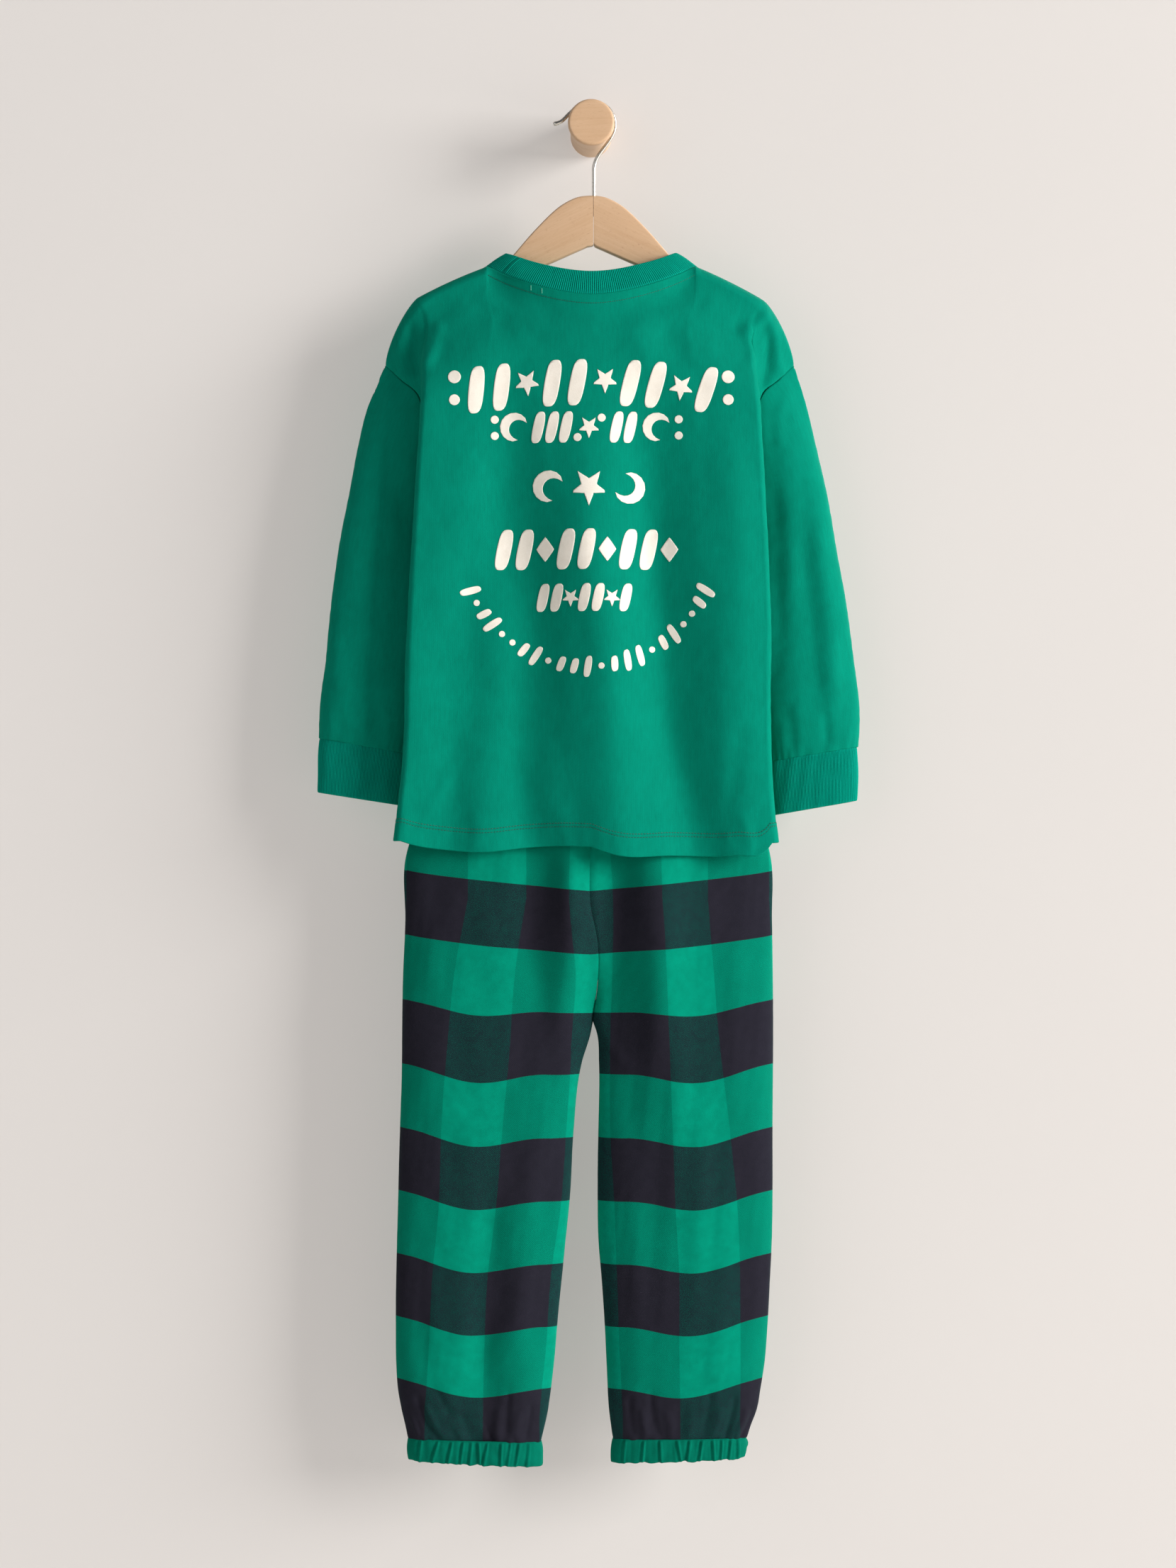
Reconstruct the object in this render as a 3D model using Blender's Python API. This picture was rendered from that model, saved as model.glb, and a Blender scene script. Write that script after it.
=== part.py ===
"""Child's pyjama set, seen from its back, on a two-arm wooden hanger over a round wall peg.

X runs across the garment, -Y is the side that faces the room, +Z is up. The origin is the
centre of the peg's flat back, which lies on the wall. Sizes below are in millimetres.
"""
import bpy
import bmesh
import numpy as np

MM = 0.001
GAP = 0.3                     # between two pieces at a seam or a joint

# Wall thickness of each cloth
JERSEY = 1.6
RIB = 2.2
FLANNEL = 1.6

# Peg, hook and hanger
HANGER_Y = -62.0              # plane of the hanger and of the hook's wire
PEG_RADIUS = 18.4
PEG_CAP_RADIUS = 20.4
PEG_CAP_BACK = -67.5
PEG_LENGTH = 76.0
WIRE = 3.5                    # diameter of the hook's wire
HOOK_BEND = 20.5              # radius of the wire's centreline round the peg
SHANK_X = 2.4
SHANK_DEPTH = 18.0            # how far the shank goes into the wood
ARM_THICKNESS = 10.0
ARM_EDGE = 2.0                # rounding of the wood's edges
JOINT_X = 2.0                 # where the two arms meet

# Outline of one arm, from the joint along the upper edge to the tip and back underneath
ARM_TOP = [(0, -62.7), (12, -64.3), (26, -71.2), (48.4, -92), (68, -114.5), (76, -124), (84, -129.5),
           (100, -135), (120, -143), (140, -152.5), (147.5, -158)]
ARM_TIP = [(151, -164), (150, -171.5)]
ARM_APEX = -106.4             # underside at the joint
ARM_SLOPE = 0.445             # fall of the straight underside

# Top: rows run from the shoulder (0) to the hem (1), columns from the centre (0) to the seam (1)
NECK_HALF = 92.0
# Height of the neck seam at the centre, its distance from the hanger plane, how fast it runs back to it
NECK_BACK = (-153.3, 30.0, 1.2)
NECK_FRONT = (-195.0, 26.0, 1.0)
NECK_SIDE = -126.0
COLLAR_TOP_HALF = 74.5
COLLAR_SIDE = -113.9
COLLAR_HEIGHT = 20.4
COLLAR_LEAN = 4.0             # how far its upper edge stands in from the neck seam
TIP_X = 152.0                 # the shoulder over the hanger's tip
BODY_DEPTH = 38.0             # from the hanger plane to each panel
SIDE_SEAM_Y = -55.0
NECK_END = 0.48               # column where the neck ends and the shoulder starts
FOLD_AT = 0.76                # column of the side fold
UNDERARM = 0.29               # row of the underarm
SHOULDER_SLOPE = 0.36         # fall of the shoulder beside the neck
SHOULDER_CURVE = 0.0015       # how much steeper it gets with each mm
RIDGE_HEIGHT = 9.0            # the cloth rolls over the hanger's edge within this height
RIDGE_SHARE = 0.32            # and by this share of the body's depth
SPREAD_HEIGHT = 95.0          # below this the body has its full depth
NECK_SPREAD = 40.0            # within this height the cloth under the neck seam joins the shoulders' form
CROWN = 0.04                  # how much flatter the body is towards its sides
SHOULDER_ROUND = 1.4          # how full the shoulder's outline is between the hanger's tip and the armhole
FOLD_RADIUS = 5.0
FOLD_HEIGHT = 70.0            # the side fold is fully formed this far below the shoulder
FOLD_SHARE = 0.38             # share of the wrap's columns that go round the fold
SHOULDER_Z = -155.0           # heights between which the side fold runs
HEM_Z = -632.0
SIDE_SEAM_END = -630.0

# Armhole, as share of its length, distance from the centre, distance in front of the hanger, height
ARMHOLE_BACK = [(0, 180.4, 0, -212), (0.18, 165, 8, -226), (0.36, 150.5, 13, -239), (0.58, 144, 12, -266),
                (0.8, 141, 4, -300), (1, 140, -7, -325)]
ARMHOLE_FRONT = [(0, 180.4, 0, -212), (0.18, 167, 7, -226), (0.36, 154, 11, -240), (0.58, 147, 11, -268),
                 (0.8, 142, 9, -300), (1, 140, 7, -325)]

SLEEVE_Y = -50.0              # middle plane of the sleeves
SLEEVE_DEPTH = [(-600, 12.5), (-550, 14), (-520, 17), (-420, 18), (-300, 19), (-212, 19)]
SLEEVE_FADE = 0.3             # share of the sleeve's length in which it takes up its own oval
SLEEVE_SWELL = 4.0            # fullness beside the armhole, away from the body
CUFF_DEPTH = (14, 12.5)

# Heights against distances from the centre, for each side
LEFT = dict(
    name="left", sign=-1, shoulder_drop=0.0, armhole=1.0,
    fold=[(-632, 171.5), (-598, 168), (-552, 163.7), (-452, 160.6), (-353, 155), (-291, 151.3),
          (-232, 147.6), (-198, 146.9), (-178, 143.5), (-164, 147), (-153, TIP_X)],
    side=[(-632, 170), (-590, 161), (-540, 149), (-480, 138), (-420, 135), (-360, 137), (-325, 140)],
    hem=[(0, -634), (26, -633.4), (58, -635.3), (97, -639), (130, -637), (159, -632.8), (172, -629)],
    sleeve_out=[(-552, 239), (-520, 239.3), (-471, 233.7), (-421, 228.8), (-372, 222), (-322, 212),
                (-285, 205.2), (-248, 195.9), (-212, 180.4)],
    sleeve_in=[(-553, 163), (-520, 154), (-480, 147), (-420, 144), (-360, 146), (-325, 147)],
    cuff_seam=((239, -539.5), (163, -553)), cuff_end=((241, -587), (167.5, -598.5)),
    leg_out=[(-1155, 160.4), (-1147, 161.8), (-1128, 166.2), (-1110, 169.3), (-1091, 170.5), (-1054, 171.1),
             (-980, 169.9), (-905, 168), (-849, 166.2), (-738, 164.3), (-700, 162.6), (-644, 162.2),
             (-620, 155), (-600, 147), (-580, 138)],
    leg_in=[(-1155, 44.3), (-1128, 38.4), (-1091, 33.5), (-1054, 30.4), (-1017, 26.7), (-979, 22.9),
            (-942, 19.2), (-886, 16.1), (-824, 8.7), (-800, 1.6), (-787, -1.2)],
    band_seam=((160.2, -1154.2), (44.5, -1157.3)), band_end=((160, -1173), (44, -1178.5)))
RIGHT = dict(
    name="right", sign=1, shoulder_drop=3.2, armhole=0.985,
    fold=[(-632, 162.3), (-606, 159.3), (-560, 156.2), (-502, 155.6), (-421, 155.6), (-328, 151.3),
          (-266, 148.2), (-229, 145.1), (-204, 141.4), (-184, 138), (-168, 143), (-156, 151)],
    side=[(-632, 161.6), (-590, 156), (-540, 147), (-480, 136), (-420, 133), (-360, 135), (-325, 138)],
    hem=[(0, -634), (20, -640.8), (70, -642), (128, -641.5), (158, -636), (163, -630)],
    sleeve_out=[(-560, 233.6), (-520, 236.2), (-471, 231.3), (-421, 224.4), (-372, 215.8), (-322, 207.1),
                (-285, 198.4), (-248, 189.1), (-213, 177.7)],
    sleeve_in=[(-560, 157.5), (-520, 151.5), (-480, 145), (-420, 142), (-360, 144), (-325, 145)],
    cuff_seam=((234, -547.2), (157.5, -560.3)), cuff_end=((234.3, -594.3), (161, -607)),
    leg_out=[(-1155, 136), (-1147, 138.3), (-1128, 145.1), (-1110, 148.2), (-1091, 151.3), (-1054, 154.4),
             (-1017, 156.2), (-979, 158.1), (-886, 158.7), (-793, 159.3), (-700, 158.2), (-644, 157),
             (-620, 151), (-600, 143.5), (-580, 135)],
    leg_in=[(-1155, 19.6), (-1128, 16.1), (-1091, 14.3), (-1054, 12.4), (-1017, 9.9), (-979, 6.8),
            (-942, 6.2), (-886, 6.8), (-824, 7.4), (-800, 6), (-787, 1.6)],
    band_seam=((135.4, -1153.6), (19.8, -1154.8)), band_end=((134.5, -1171), (18.2, -1175)))

# Trousers
WAIST_TOP = -552.0
WAIST_SEAM = -580.0
CROTCH = -787.0
SEAT_CURVE = -690.0           # where the centre seam starts to turn in to the crotch
LEG_Y = -62.0                 # middle plane of the trousers
LEG_SEAM_Y = -65.0            # inseams and outseams lie a little to the back
ANKLE_DEPTH = (15, 14)
WAIST_PINCH = 3.0             # how far the elastic pulls the waistband's sides in
LEG_DEPTH = [(-1180, 14), (-1155, 15), (-1120, 22), (-1000, 24), (-787, 26), (-640, 25), (-580, 22)]
CENTRE_SEAM = [(-800, 1.2), (-787, 1.2), (-762, 5), (-722, 6.2), (-683, -0.6), (-640, -0.6), (-552, 0)]

# Long soft folds: distance across against height, how far the fold stands out against height, half width
TOP_FOLDS = [
    ([(-640, 26), (-576, 19), (-490, 14), (-452, 11), (-378, 3), (-240, 2)],
     [(-640, 10), (-480, 10.5), (-330, 7.5), (-250, 3), (-190, 0)], 28),
    ([(-640, -48), (-576, -63), (-545, -60), (-452, -55), (-378, -60), (-291, -72), (-240, -74)],
     [(-640, -7.5), (-480, -8), (-330, -5.5), (-240, -2), (-190, 0)], 24),
    ([(-640, -126), (-576, -124), (-545, -116), (-452, -108), (-378, -90), (-291, -80)],
     [(-640, -5), (-500, -6), (-400, -4.2), (-300, 0)], 20),
    ([(-640, 96), (-576, 78), (-545, 70), (-452, 60), (-378, 53), (-291, 51), (-240, 50)],
     [(-640, -8), (-480, -10), (-330, -7.5), (-250, -3), (-200, 0)], 28)]
LEG_FOLDS = [
    ([(-900, -22), (-560, -17)], [(-860, 0), (-760, 3.5), (-680, 5.5), (-630, 4), (-560, 3)], 13),
    ([(-900, -50), (-560, -46)], [(-860, 0), (-740, -2), (-660, -2.5), (-560, -2)], 16),
    ([(-960, 74), (-800, 63), (-560, 57)],
     [(-960, 0), (-860, 2.5), (-770, 6), (-680, 8), (-630, 4), (-560, 3)], 25),
    ([(-900, 24), (-560, 21)], [(-860, 0), (-740, -2.5), (-660, -3.5), (-560, -2)], 15)]


def ease(share):
    share = np.clip(share, 0, 1)
    return share * share * (3 - 2 * share)


def mix(a, b, share):
    return a + (b - a) * share


def curve(points):
    """A smooth line through the points (place, value), level beyond its ends."""
    place, value = np.array(sorted(points), float).T
    slope = np.gradient(value, place)

    def at(where):
        where = np.clip(where, place[0], place[-1])
        i = np.clip(np.searchsorted(place, where) - 1, 0, len(place) - 2)
        step = place[i + 1] - place[i]
        u = (where - place[i]) / step
        return (value[i] * (1 + 2 * u) * (1 - u) ** 2 + value[i + 1] * u * u * (3 - 2 * u)
                + step * (slope[i] * u * (1 - u) ** 2 - slope[i + 1] * u * u * (1 - u)))
    return at


def folds(x, z, table):
    return sum(curve(height)(z) * np.exp(-((x - curve(line)(z)) / half_width) ** 2)
               for line, height, half_width in table)


# ---- Meshes

def material(name, colour, roughness, metallic=0.0):
    mat = bpy.data.materials.new(name)
    mat.use_nodes = True
    shader = mat.node_tree.nodes["Principled BSDF"]
    shader.inputs["Base Color"].default_value = (*colour, 1)
    shader.inputs["Roughness"].default_value = roughness
    shader.inputs["Metallic"].default_value = metallic
    return mat


def add_object(name, mesh, mat):
    obj = bpy.data.objects.new(name, mesh)
    bpy.context.collection.objects.link(obj)
    mesh.materials.append(mat)
    return obj


def mesh_object(name, points, faces, mat):
    mesh = bpy.data.meshes.new(name)
    mesh.from_pydata((np.asarray(points) * MM).tolist(), [], faces)
    bm = bmesh.new()
    bm.from_mesh(mesh)
    bmesh.ops.recalc_face_normals(bm, faces=bm.faces)
    bm.to_mesh(mesh)
    bm.free()
    mesh.shade_smooth()
    return add_object(name, mesh, mat)


def directions(grid, ring):
    """Unit normals of a grid of points, rows by columns; a ring closes over its columns."""
    if ring:
        across = np.roll(grid, -1, 1) - np.roll(grid, 1, 1)
    else:
        across = np.gradient(grid, axis=1)
    normal = np.cross(np.gradient(grid, axis=0), across)
    return normal / np.linalg.norm(normal, axis=2, keepdims=True)


def wall(name, grid, thickness, mat, ring=False, normals=None, trim=None):
    """A closed cloth wall about a grid of points; trim moves the layers' edges off a seam."""
    normals = directions(grid, ring) if normals is None else normals
    layers = [grid + normals * thickness / 2, grid - normals * thickness / 2]
    if trim:
        for layer in layers:
            trim(layer)
    rows, columns = grid.shape[:2]
    number = np.arange(2 * rows * columns).reshape(2, rows, columns)
    if ring:
        number = np.concatenate([number, number[:, :, :1]], axis=2)
    front, back = number
    faces = []

    def strip(a, b):
        faces.extend(np.stack([a[:-1], a[1:], b[1:]], axis=1).tolist())
        faces.extend(np.stack([a[:-1], b[1:], b[:-1]], axis=1).tolist())
    for row in range(rows - 1):          # both layers are split along the same diagonals
        strip(front[row], front[row + 1])
        strip(back[row], back[row + 1])
    strip(back[0], front[0])
    strip(front[-1], back[-1])
    if not ring:
        strip(front[:, 0], back[:, 0])
        strip(back[:, -1], front[:, -1])
    return mesh_object(name, np.concatenate([layer.reshape(-1, 3) for layer in layers]), faces, mat)


# ---- Peg, hook and hanger

def peg():
    profile = [(0, 0), (PEG_RADIUS, 0), (PEG_RADIUS, PEG_CAP_BACK + 1), (PEG_CAP_RADIUS - 1, PEG_CAP_BACK),
               (PEG_CAP_RADIUS, PEG_CAP_BACK - 1), (PEG_CAP_RADIUS, 2 - PEG_LENGTH),
               (PEG_CAP_RADIUS - 0.6, 0.6 - PEG_LENGTH), (PEG_CAP_RADIUS - 2, -PEG_LENGTH), (0, -PEG_LENGTH)]
    turn = np.linspace(0, 2 * np.pi, 40, endpoint=False)
    radius, depth = np.array(profile[1:-1]).T
    rings = np.stack([radius[:, None] * np.cos(turn), depth[:, None] + 0 * turn,
                      radius[:, None] * np.sin(turn)], 2)
    points = rings.reshape(-1, 3)
    number = np.arange(len(points)).reshape(rings.shape[:2])
    faces = []
    for a, b in zip(number[:-1], number[1:]):
        faces += np.stack([a, np.roll(a, -1), np.roll(b, -1), b], axis=1).tolist()
    faces += [number[0].tolist(), number[-1].tolist()]
    obj = mesh_object("peg", points, faces, WOOD)
    obj.data.set_sharp_from_angle(angle=0.6)
    return obj


def hook():
    """Shank, a bend to the right, the arc over the peg and a straight run down to the tip."""
    start, end = np.radians(-24), np.radians(136)
    turn = np.linspace(start, end, 26)
    arc = np.stack([0.4 + HOOK_BEND * np.cos(turn), HOOK_BEND * np.sin(turn)], 1)
    shank_top = -40.0
    u = np.linspace(0, 1, 9)[1:-1, None]
    a, d = np.array([SHANK_X, shank_top]), arc[0]
    b, c = a + (0, 13), d - 13 * np.array([-np.sin(start), np.cos(start)])
    bend = a * (1 - u) ** 3 + 3 * b * (1 - u) ** 2 * u + 3 * c * (1 - u) * u * u + d * u ** 3
    tip = [(-20.3, 8.6), (-24.2, 4.6), (-26.6, 2.6), (-29.3, 1.4), (-31.6, 0.8), (-33.2, 0.5)]
    shank = [(SHANK_X, ARM_TOP[0][1] - SHANK_DEPTH), (SHANK_X, ARM_TOP[0][1]), (SHANK_X, shank_top)]
    route = np.concatenate([shank, bend, arc, tip])
    data = bpy.data.curves.new("hook", "CURVE")
    data.dimensions = "3D"
    data.bevel_depth = WIRE / 2 * MM
    data.bevel_resolution = 2
    data.use_fill_caps = True
    line = data.splines.new("POLY")
    line.points.add(len(route) - 1)
    for point, (x, z) in zip(line.points, route):
        point.co = (x * MM, HANGER_Y * MM, z * MM, 1)
    line.points[-2].radius = 1.25
    line.points[-1].radius = 1.1
    return add_object("hook", data, STEEL)


def hanger_arm(side):
    """One arm: its outline extruded across, its edges rounded, and half of the shank's hole cut."""
    outline = [(x, z) for x, z in ARM_TOP + ARM_TIP]
    outline += [(143, ARM_APEX - ARM_SLOPE * 143), (0, ARM_APEX)]
    if side is RIGHT:
        outline = [(x, z - side["shoulder_drop"] * max(0, x - 71) / (TIP_X - 71)) for x, z in outline]
    joint_x = JOINT_X + side["sign"] * GAP / 2
    flat = np.array([(side["sign"] * x if x else joint_x, z) for x, z in outline])
    count = len(flat)
    half = ARM_THICKNESS / 2
    points = [(x, HANGER_Y + y, z) for y in (-half, half) for x, z in flat]
    faces = [list(range(count)), list(range(count, 2 * count))]
    faces += [[i, (i + 1) % count, count + (i + 1) % count, count + i] for i in range(count)]
    arm = mesh_object(f"hanger_{side['name']}_arm", points, faces, WOOD)
    bm = bmesh.new()
    bm.from_mesh(arm.data)
    along = [e for e in bm.edges if abs(e.verts[0].co.y - e.verts[1].co.y) < 1e-6
             and max(abs(v.co.x - joint_x * MM) for v in e.verts) > 1e-5]
    bmesh.ops.bevel(bm, geom=along, offset=ARM_EDGE * MM, segments=2, affect="EDGES")
    bm.to_mesh(arm.data)
    bm.free()

    bm = bmesh.new()
    bmesh.ops.create_cone(bm, cap_ends=True, segments=16, radius1=(WIRE / 2 + GAP) * MM,
                          radius2=(WIRE / 2 + GAP) * MM, depth=2 * SHANK_DEPTH * MM)
    drill_mesh = bpy.data.meshes.new(f"drill_{side['name']}")
    bm.to_mesh(drill_mesh)
    bm.free()
    drill = bpy.data.objects.new(drill_mesh.name, drill_mesh)
    bpy.context.collection.objects.link(drill)
    drill.location = (SHANK_X * MM, HANGER_Y * MM, (ARM_TOP[0][1] - GAP) * MM)
    drill.hide_render = True
    drill.display_type = "WIRE"
    cut = arm.modifiers.new("shank hole", "BOOLEAN")
    cut.operation = "DIFFERENCE"
    cut.object = drill
    return arm


# ---- Top

def neck_turn(column):
    return np.pi / 2 * np.clip(column / NECK_END, 0, 1)


def top_edge(column, side, back):
    """The neck seam as an arc in plan, then the shoulder line out to the hanger's tip."""
    height, depth, bow = NECK_BACK if back else NECK_FRONT
    turn = neck_turn(column)
    x_neck = NECK_HALF * np.sin(turn)
    rise = np.sin(turn) ** 1.8 if back else 1 - np.cos(turn) ** 1.85
    tip = curve(side["fold"])(0)
    run = (tip - NECK_HALF) * np.clip((column - NECK_END) / (FOLD_AT - NECK_END), 0, 1)
    share = run / (tip - NECK_HALF)
    x = x_neck + run
    z = mix(height, NECK_SIDE, rise) - side["shoulder_drop"] * share
    z = z - SHOULDER_SLOPE * run - SHOULDER_CURVE * run ** 2
    return x, z, depth * np.cos(turn) ** bow


def armhole(share, side, back):
    place, x, depth, z = np.array(ARMHOLE_BACK if back else ARMHOLE_FRONT, float).T
    return [curve(zip(place, values))(share) for values in (x * side["armhole"], depth, z)]


def half_panel(column, row, side, back):
    """Half of the back or front panel: flat across, a rounded side fold, then in to the seam."""
    x_top, z_top, depth_top = top_edge(column, side, back)
    side_line = curve(side["side"])
    fold_line = curve(side["fold"])
    if not back:
        fold_line = curve([(-153, TIP_X), (-178, 147), (-240, 144)] +
                          [(z, x + 0.6) for z, x in side["side"]])
    flat = np.minimum(column, FOLD_AT) / FOLD_AT
    x_guess = flat * fold_line(mix(SHOULDER_Z, HEM_Z, row))
    z = mix(z_top, curve(side["hem"])(x_guess), row)
    below = z_top - z
    ridge = np.sqrt(1 - (1 - np.clip(below / RIDGE_HEIGHT, 0, 1)) ** 2)
    neck = np.sin(neck_turn(column))
    shoulder = np.where(neck < 1, NECK_SIDE + SHOULDER_SLOPE * NECK_HALF * (1 - neck), z_top)
    full = mix(RIDGE_SHARE, 1, ease((shoulder - z) / SPREAD_HEIGHT))
    across = mix(x_top / curve(side["fold"])(0), flat, ease(row / UNDERARM))
    crown = 1 - CROWN * across ** 2
    spread = mix(ease(below / NECK_SPREAD), ridge, neck ** 4)
    depth = depth_top + (BODY_DEPTH * crown * full - depth_top) * spread
    fold_x = fold_line(z)
    turn_in = ease(below / FOLD_HEIGHT)
    radius = FOLD_RADIUS * turn_in * flat
    x = across * (fold_x - radius)
    if back:
        depth = depth + folds(side["sign"] * x, z, TOP_FOLDS)

    w = np.clip((column - FOLD_AT) / (1 - FOLD_AT), 0, 1)
    bend = FOLD_SHARE * turn_in
    round_share = np.clip(w / np.maximum(bend, 1e-6), 0, 1) * (w > 0)
    angle = np.pi / 2 * round_share
    inward = np.clip((w - bend) / (1 - bend), 0, 1)
    hole_x, hole_depth, hole_z = armhole(np.clip(row / UNDERARM, 0, 1), side, back)
    seam_z = mix(hole_z, SIDE_SEAM_END, np.clip((row - UNDERARM) / (1 - UNDERARM), 0, 1))
    seam_x = np.where(row > UNDERARM, side_line(seam_z), hole_x)
    out = mix(1 - (1 - inward) ** SHOULDER_ROUND, ease(inward), ease(row / UNDERARM))
    wrap_x = fold_x - radius * (1 - np.sin(angle)) + (seam_x - fold_x) * out
    wrap_depth = mix(depth - radius * (1 - np.cos(angle)), hole_depth, inward)
    wrap_z = mix(z, seam_z, w ** 1.2)
    x = np.where(w > 0, wrap_x, x)
    y_depth = np.where(w > 0, wrap_depth, depth)
    z = np.where(w > 0, wrap_z, z)
    y = HANGER_Y - y_depth if back else HANGER_Y + y_depth
    return np.stack([side["sign"] * x, y, z], axis=-1)


PANEL_ROWS = np.concatenate([[0, 0.012, 0.035, 0.07, 0.11, 0.15, 0.2, 0.245],
                             np.linspace(UNDERARM, 1, 10)])
ARMHOLE_ROWS = 8


def top_panel(back):
    neck = np.linspace(0, NECK_END, 6)
    shoulder = np.linspace(NECK_END, FOLD_AT, 4)[1:]
    wrap = np.linspace(FOLD_AT, 1, 6)[1:]
    columns, rows = np.meshgrid(np.concatenate([neck, shoulder, wrap]), PANEL_ROWS)
    left = half_panel(columns, rows, LEFT, back)
    right = half_panel(columns, rows, RIGHT, back)
    grid = np.concatenate([left[:, :0:-1], right], axis=1)
    across = len(neck) - 1

    def trim(layer):
        middle = layer.shape[1] // 2
        outwards = -1 if back else 1
        shoulders = np.r_[0:middle - across + 1, middle + across:layer.shape[1]]
        edge = HANGER_Y + outwards * GAP / 2
        layer[0, shoulders, 1] = np.minimum(layer[0, shoulders, 1], edge) if back \
            else np.maximum(layer[0, shoulders, 1], edge)
        seam = SIDE_SEAM_Y + outwards * GAP / 2
        for column in (0, -1):
            y = layer[ARMHOLE_ROWS:, column, 1]
            layer[ARMHOLE_ROWS:, column, 1] = np.minimum(y, seam) if back else np.maximum(y, seam)
    wall("top_back" if back else "top_front", grid, JERSEY, GREEN_JERSEY, trim=trim)
    middle = grid.shape[1] // 2
    return grid, directions(grid, False), slice(middle - across, middle + across + 1)


def bulge(value):
    """Fills a sine or cosine out, which turns an ellipse into a flatter oval."""
    return np.sign(value) * np.abs(value) ** 0.8


def oval_place(turn):
    return 0.5 - 0.5 * bulge(np.cos(turn))


def oval(turn, near, far, depth):
    """A flattened oval from the outer edge (turn 0) over the back to the inner edge (turn pi)."""
    return mix(far, near, oval_place(turn)), -bulge(np.sin(turn)) * depth


def sleeve(side, back_grid, front_grid, back_normals, front_normals):
    column = 0 if side is LEFT else -1
    ring = np.concatenate([back_grid[:ARMHOLE_ROWS + 1, column], front_grid[ARMHOLE_ROWS - 1:0:-1, column]])
    normal = np.concatenate([back_normals[:ARMHOLE_ROWS + 1, column],
                             -front_normals[ARMHOLE_ROWS - 1:0:-1, column]])
    count = len(ring)
    turn = np.linspace(0, 2 * np.pi, count, endpoint=False)
    hidden = ease((1 - np.cos(turn)) / 0.5)
    outward = np.array([side["sign"], 0, 0])
    down = np.array([side["sign"] * 0.35, 0, -0.94])
    start = ring + mix(down * (GAP + 0.3), outward * (JERSEY + GAP + 0.3), hidden[:, None])
    (seam_far, seam_far_z), (seam_near, seam_near_z) = side["cuff_seam"]
    along = np.concatenate([[0, 0.04, 0.1], np.linspace(0.19, 0.9, 6), [0.965, 1]])
    share = along[:, None] + 0 * turn
    low = mix(seam_far_z, seam_near_z, oval_place(turn))
    z = mix(start[:, 2], low, share)

    def shape(z):
        x, out = oval(turn, curve(side["sleeve_in"])(z), curve(side["sleeve_out"])(z), curve(SLEEVE_DEPTH)(z))
        return np.stack([side["sign"] * x, SLEEVE_Y + out, z], -1)
    fade = 1 - ease(share / SLEEVE_FADE)[..., None]
    swell = SLEEVE_SWELL * (hidden * ease(share / 0.06))[..., None]
    grid = shape(z) + (start - shape(start[:, 2]) + swell * outward) * fade

    def trim(layer):
        layer[-1, :, 2] = low + GAP / 2
    wall(f"sleeve_{side['name']}", grid, JERSEY, GREEN_JERSEY, ring=True, trim=trim)


def cuff(side):
    turn = np.linspace(0, 2 * np.pi, 2 * ARMHOLE_ROWS, endpoint=False)
    share = np.array([0, 0.5, 1])[:, None] + 0 * turn
    (far, far_z), (near, near_z) = side["cuff_seam"]
    (end_far, end_far_z), (end_near, end_near_z) = side["cuff_end"]
    across = oval_place(turn)
    x, out = oval(turn, mix(near, end_near, share), mix(far, end_far, share), mix(*CUFF_DEPTH, share))
    z = mix(mix(far_z, near_z, across), mix(end_far_z, end_near_z, across), share)
    grid = np.stack([side["sign"] * x, SLEEVE_Y + out, z], -1)

    def trim(layer):
        layer[0, :, 2] = mix(far_z, near_z, across) - GAP / 2
    wall(f"cuff_{side['name']}", grid, RIB, GREEN_RIB, ring=True, trim=trim)


def collar(back_grid, front_grid, back_normals, front_normals, neck):
    """A rib ring that stands on the neck seam and leans in over the shoulders."""
    base = np.concatenate([back_grid[0, neck], front_grid[0, neck][-2:0:-1]])
    half = (neck.stop - neck.start - 1) // 2
    turn = np.linspace(-np.pi / 2, np.pi / 2, 2 * half + 1)
    x = COLLAR_TOP_HALF * np.sin(turn)
    rise = np.abs(np.sin(turn)) ** 1.8
    back = np.stack([x, HANGER_Y - (NECK_BACK[1] - COLLAR_LEAN) * np.cos(turn) ** NECK_BACK[2],
                     mix(NECK_BACK[0] + COLLAR_HEIGHT, COLLAR_SIDE, rise)], -1)
    front = np.stack([x, HANGER_Y + (NECK_FRONT[1] - COLLAR_LEAN) * np.cos(turn) ** NECK_FRONT[2],
                      mix(NECK_FRONT[0] + COLLAR_HEIGHT, COLLAR_SIDE, 1 - np.cos(turn) ** 1.85)], -1)
    top = np.concatenate([back, front[-2:0:-1]])
    step = top - base
    step = step / np.linalg.norm(step, axis=1, keepdims=True)
    base = base + step * (GAP + 0.3)
    middle = mix(base, top, 0.5) + np.array([0, 0, 0.8])
    grid = np.stack([base, middle, top])
    normals = directions(grid, True)
    edge = np.concatenate([back_normals[0, neck], -front_normals[0, neck][-2:0:-1]])
    normals[0] = edge * np.sign(np.sum(edge * normals[0], axis=1, keepdims=True))
    wall("collar", grid, RIB, GREEN_RIB, ring=True, normals=normals)


# ---- Trousers

def centre_turn(z):
    """A quarter turn above the seat, so the panels meet face on, down to none at the crotch."""
    return np.pi / 2 * (1 - ease((SEAT_CURVE - z) / (SEAT_CURVE - CROTCH)))


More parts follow.
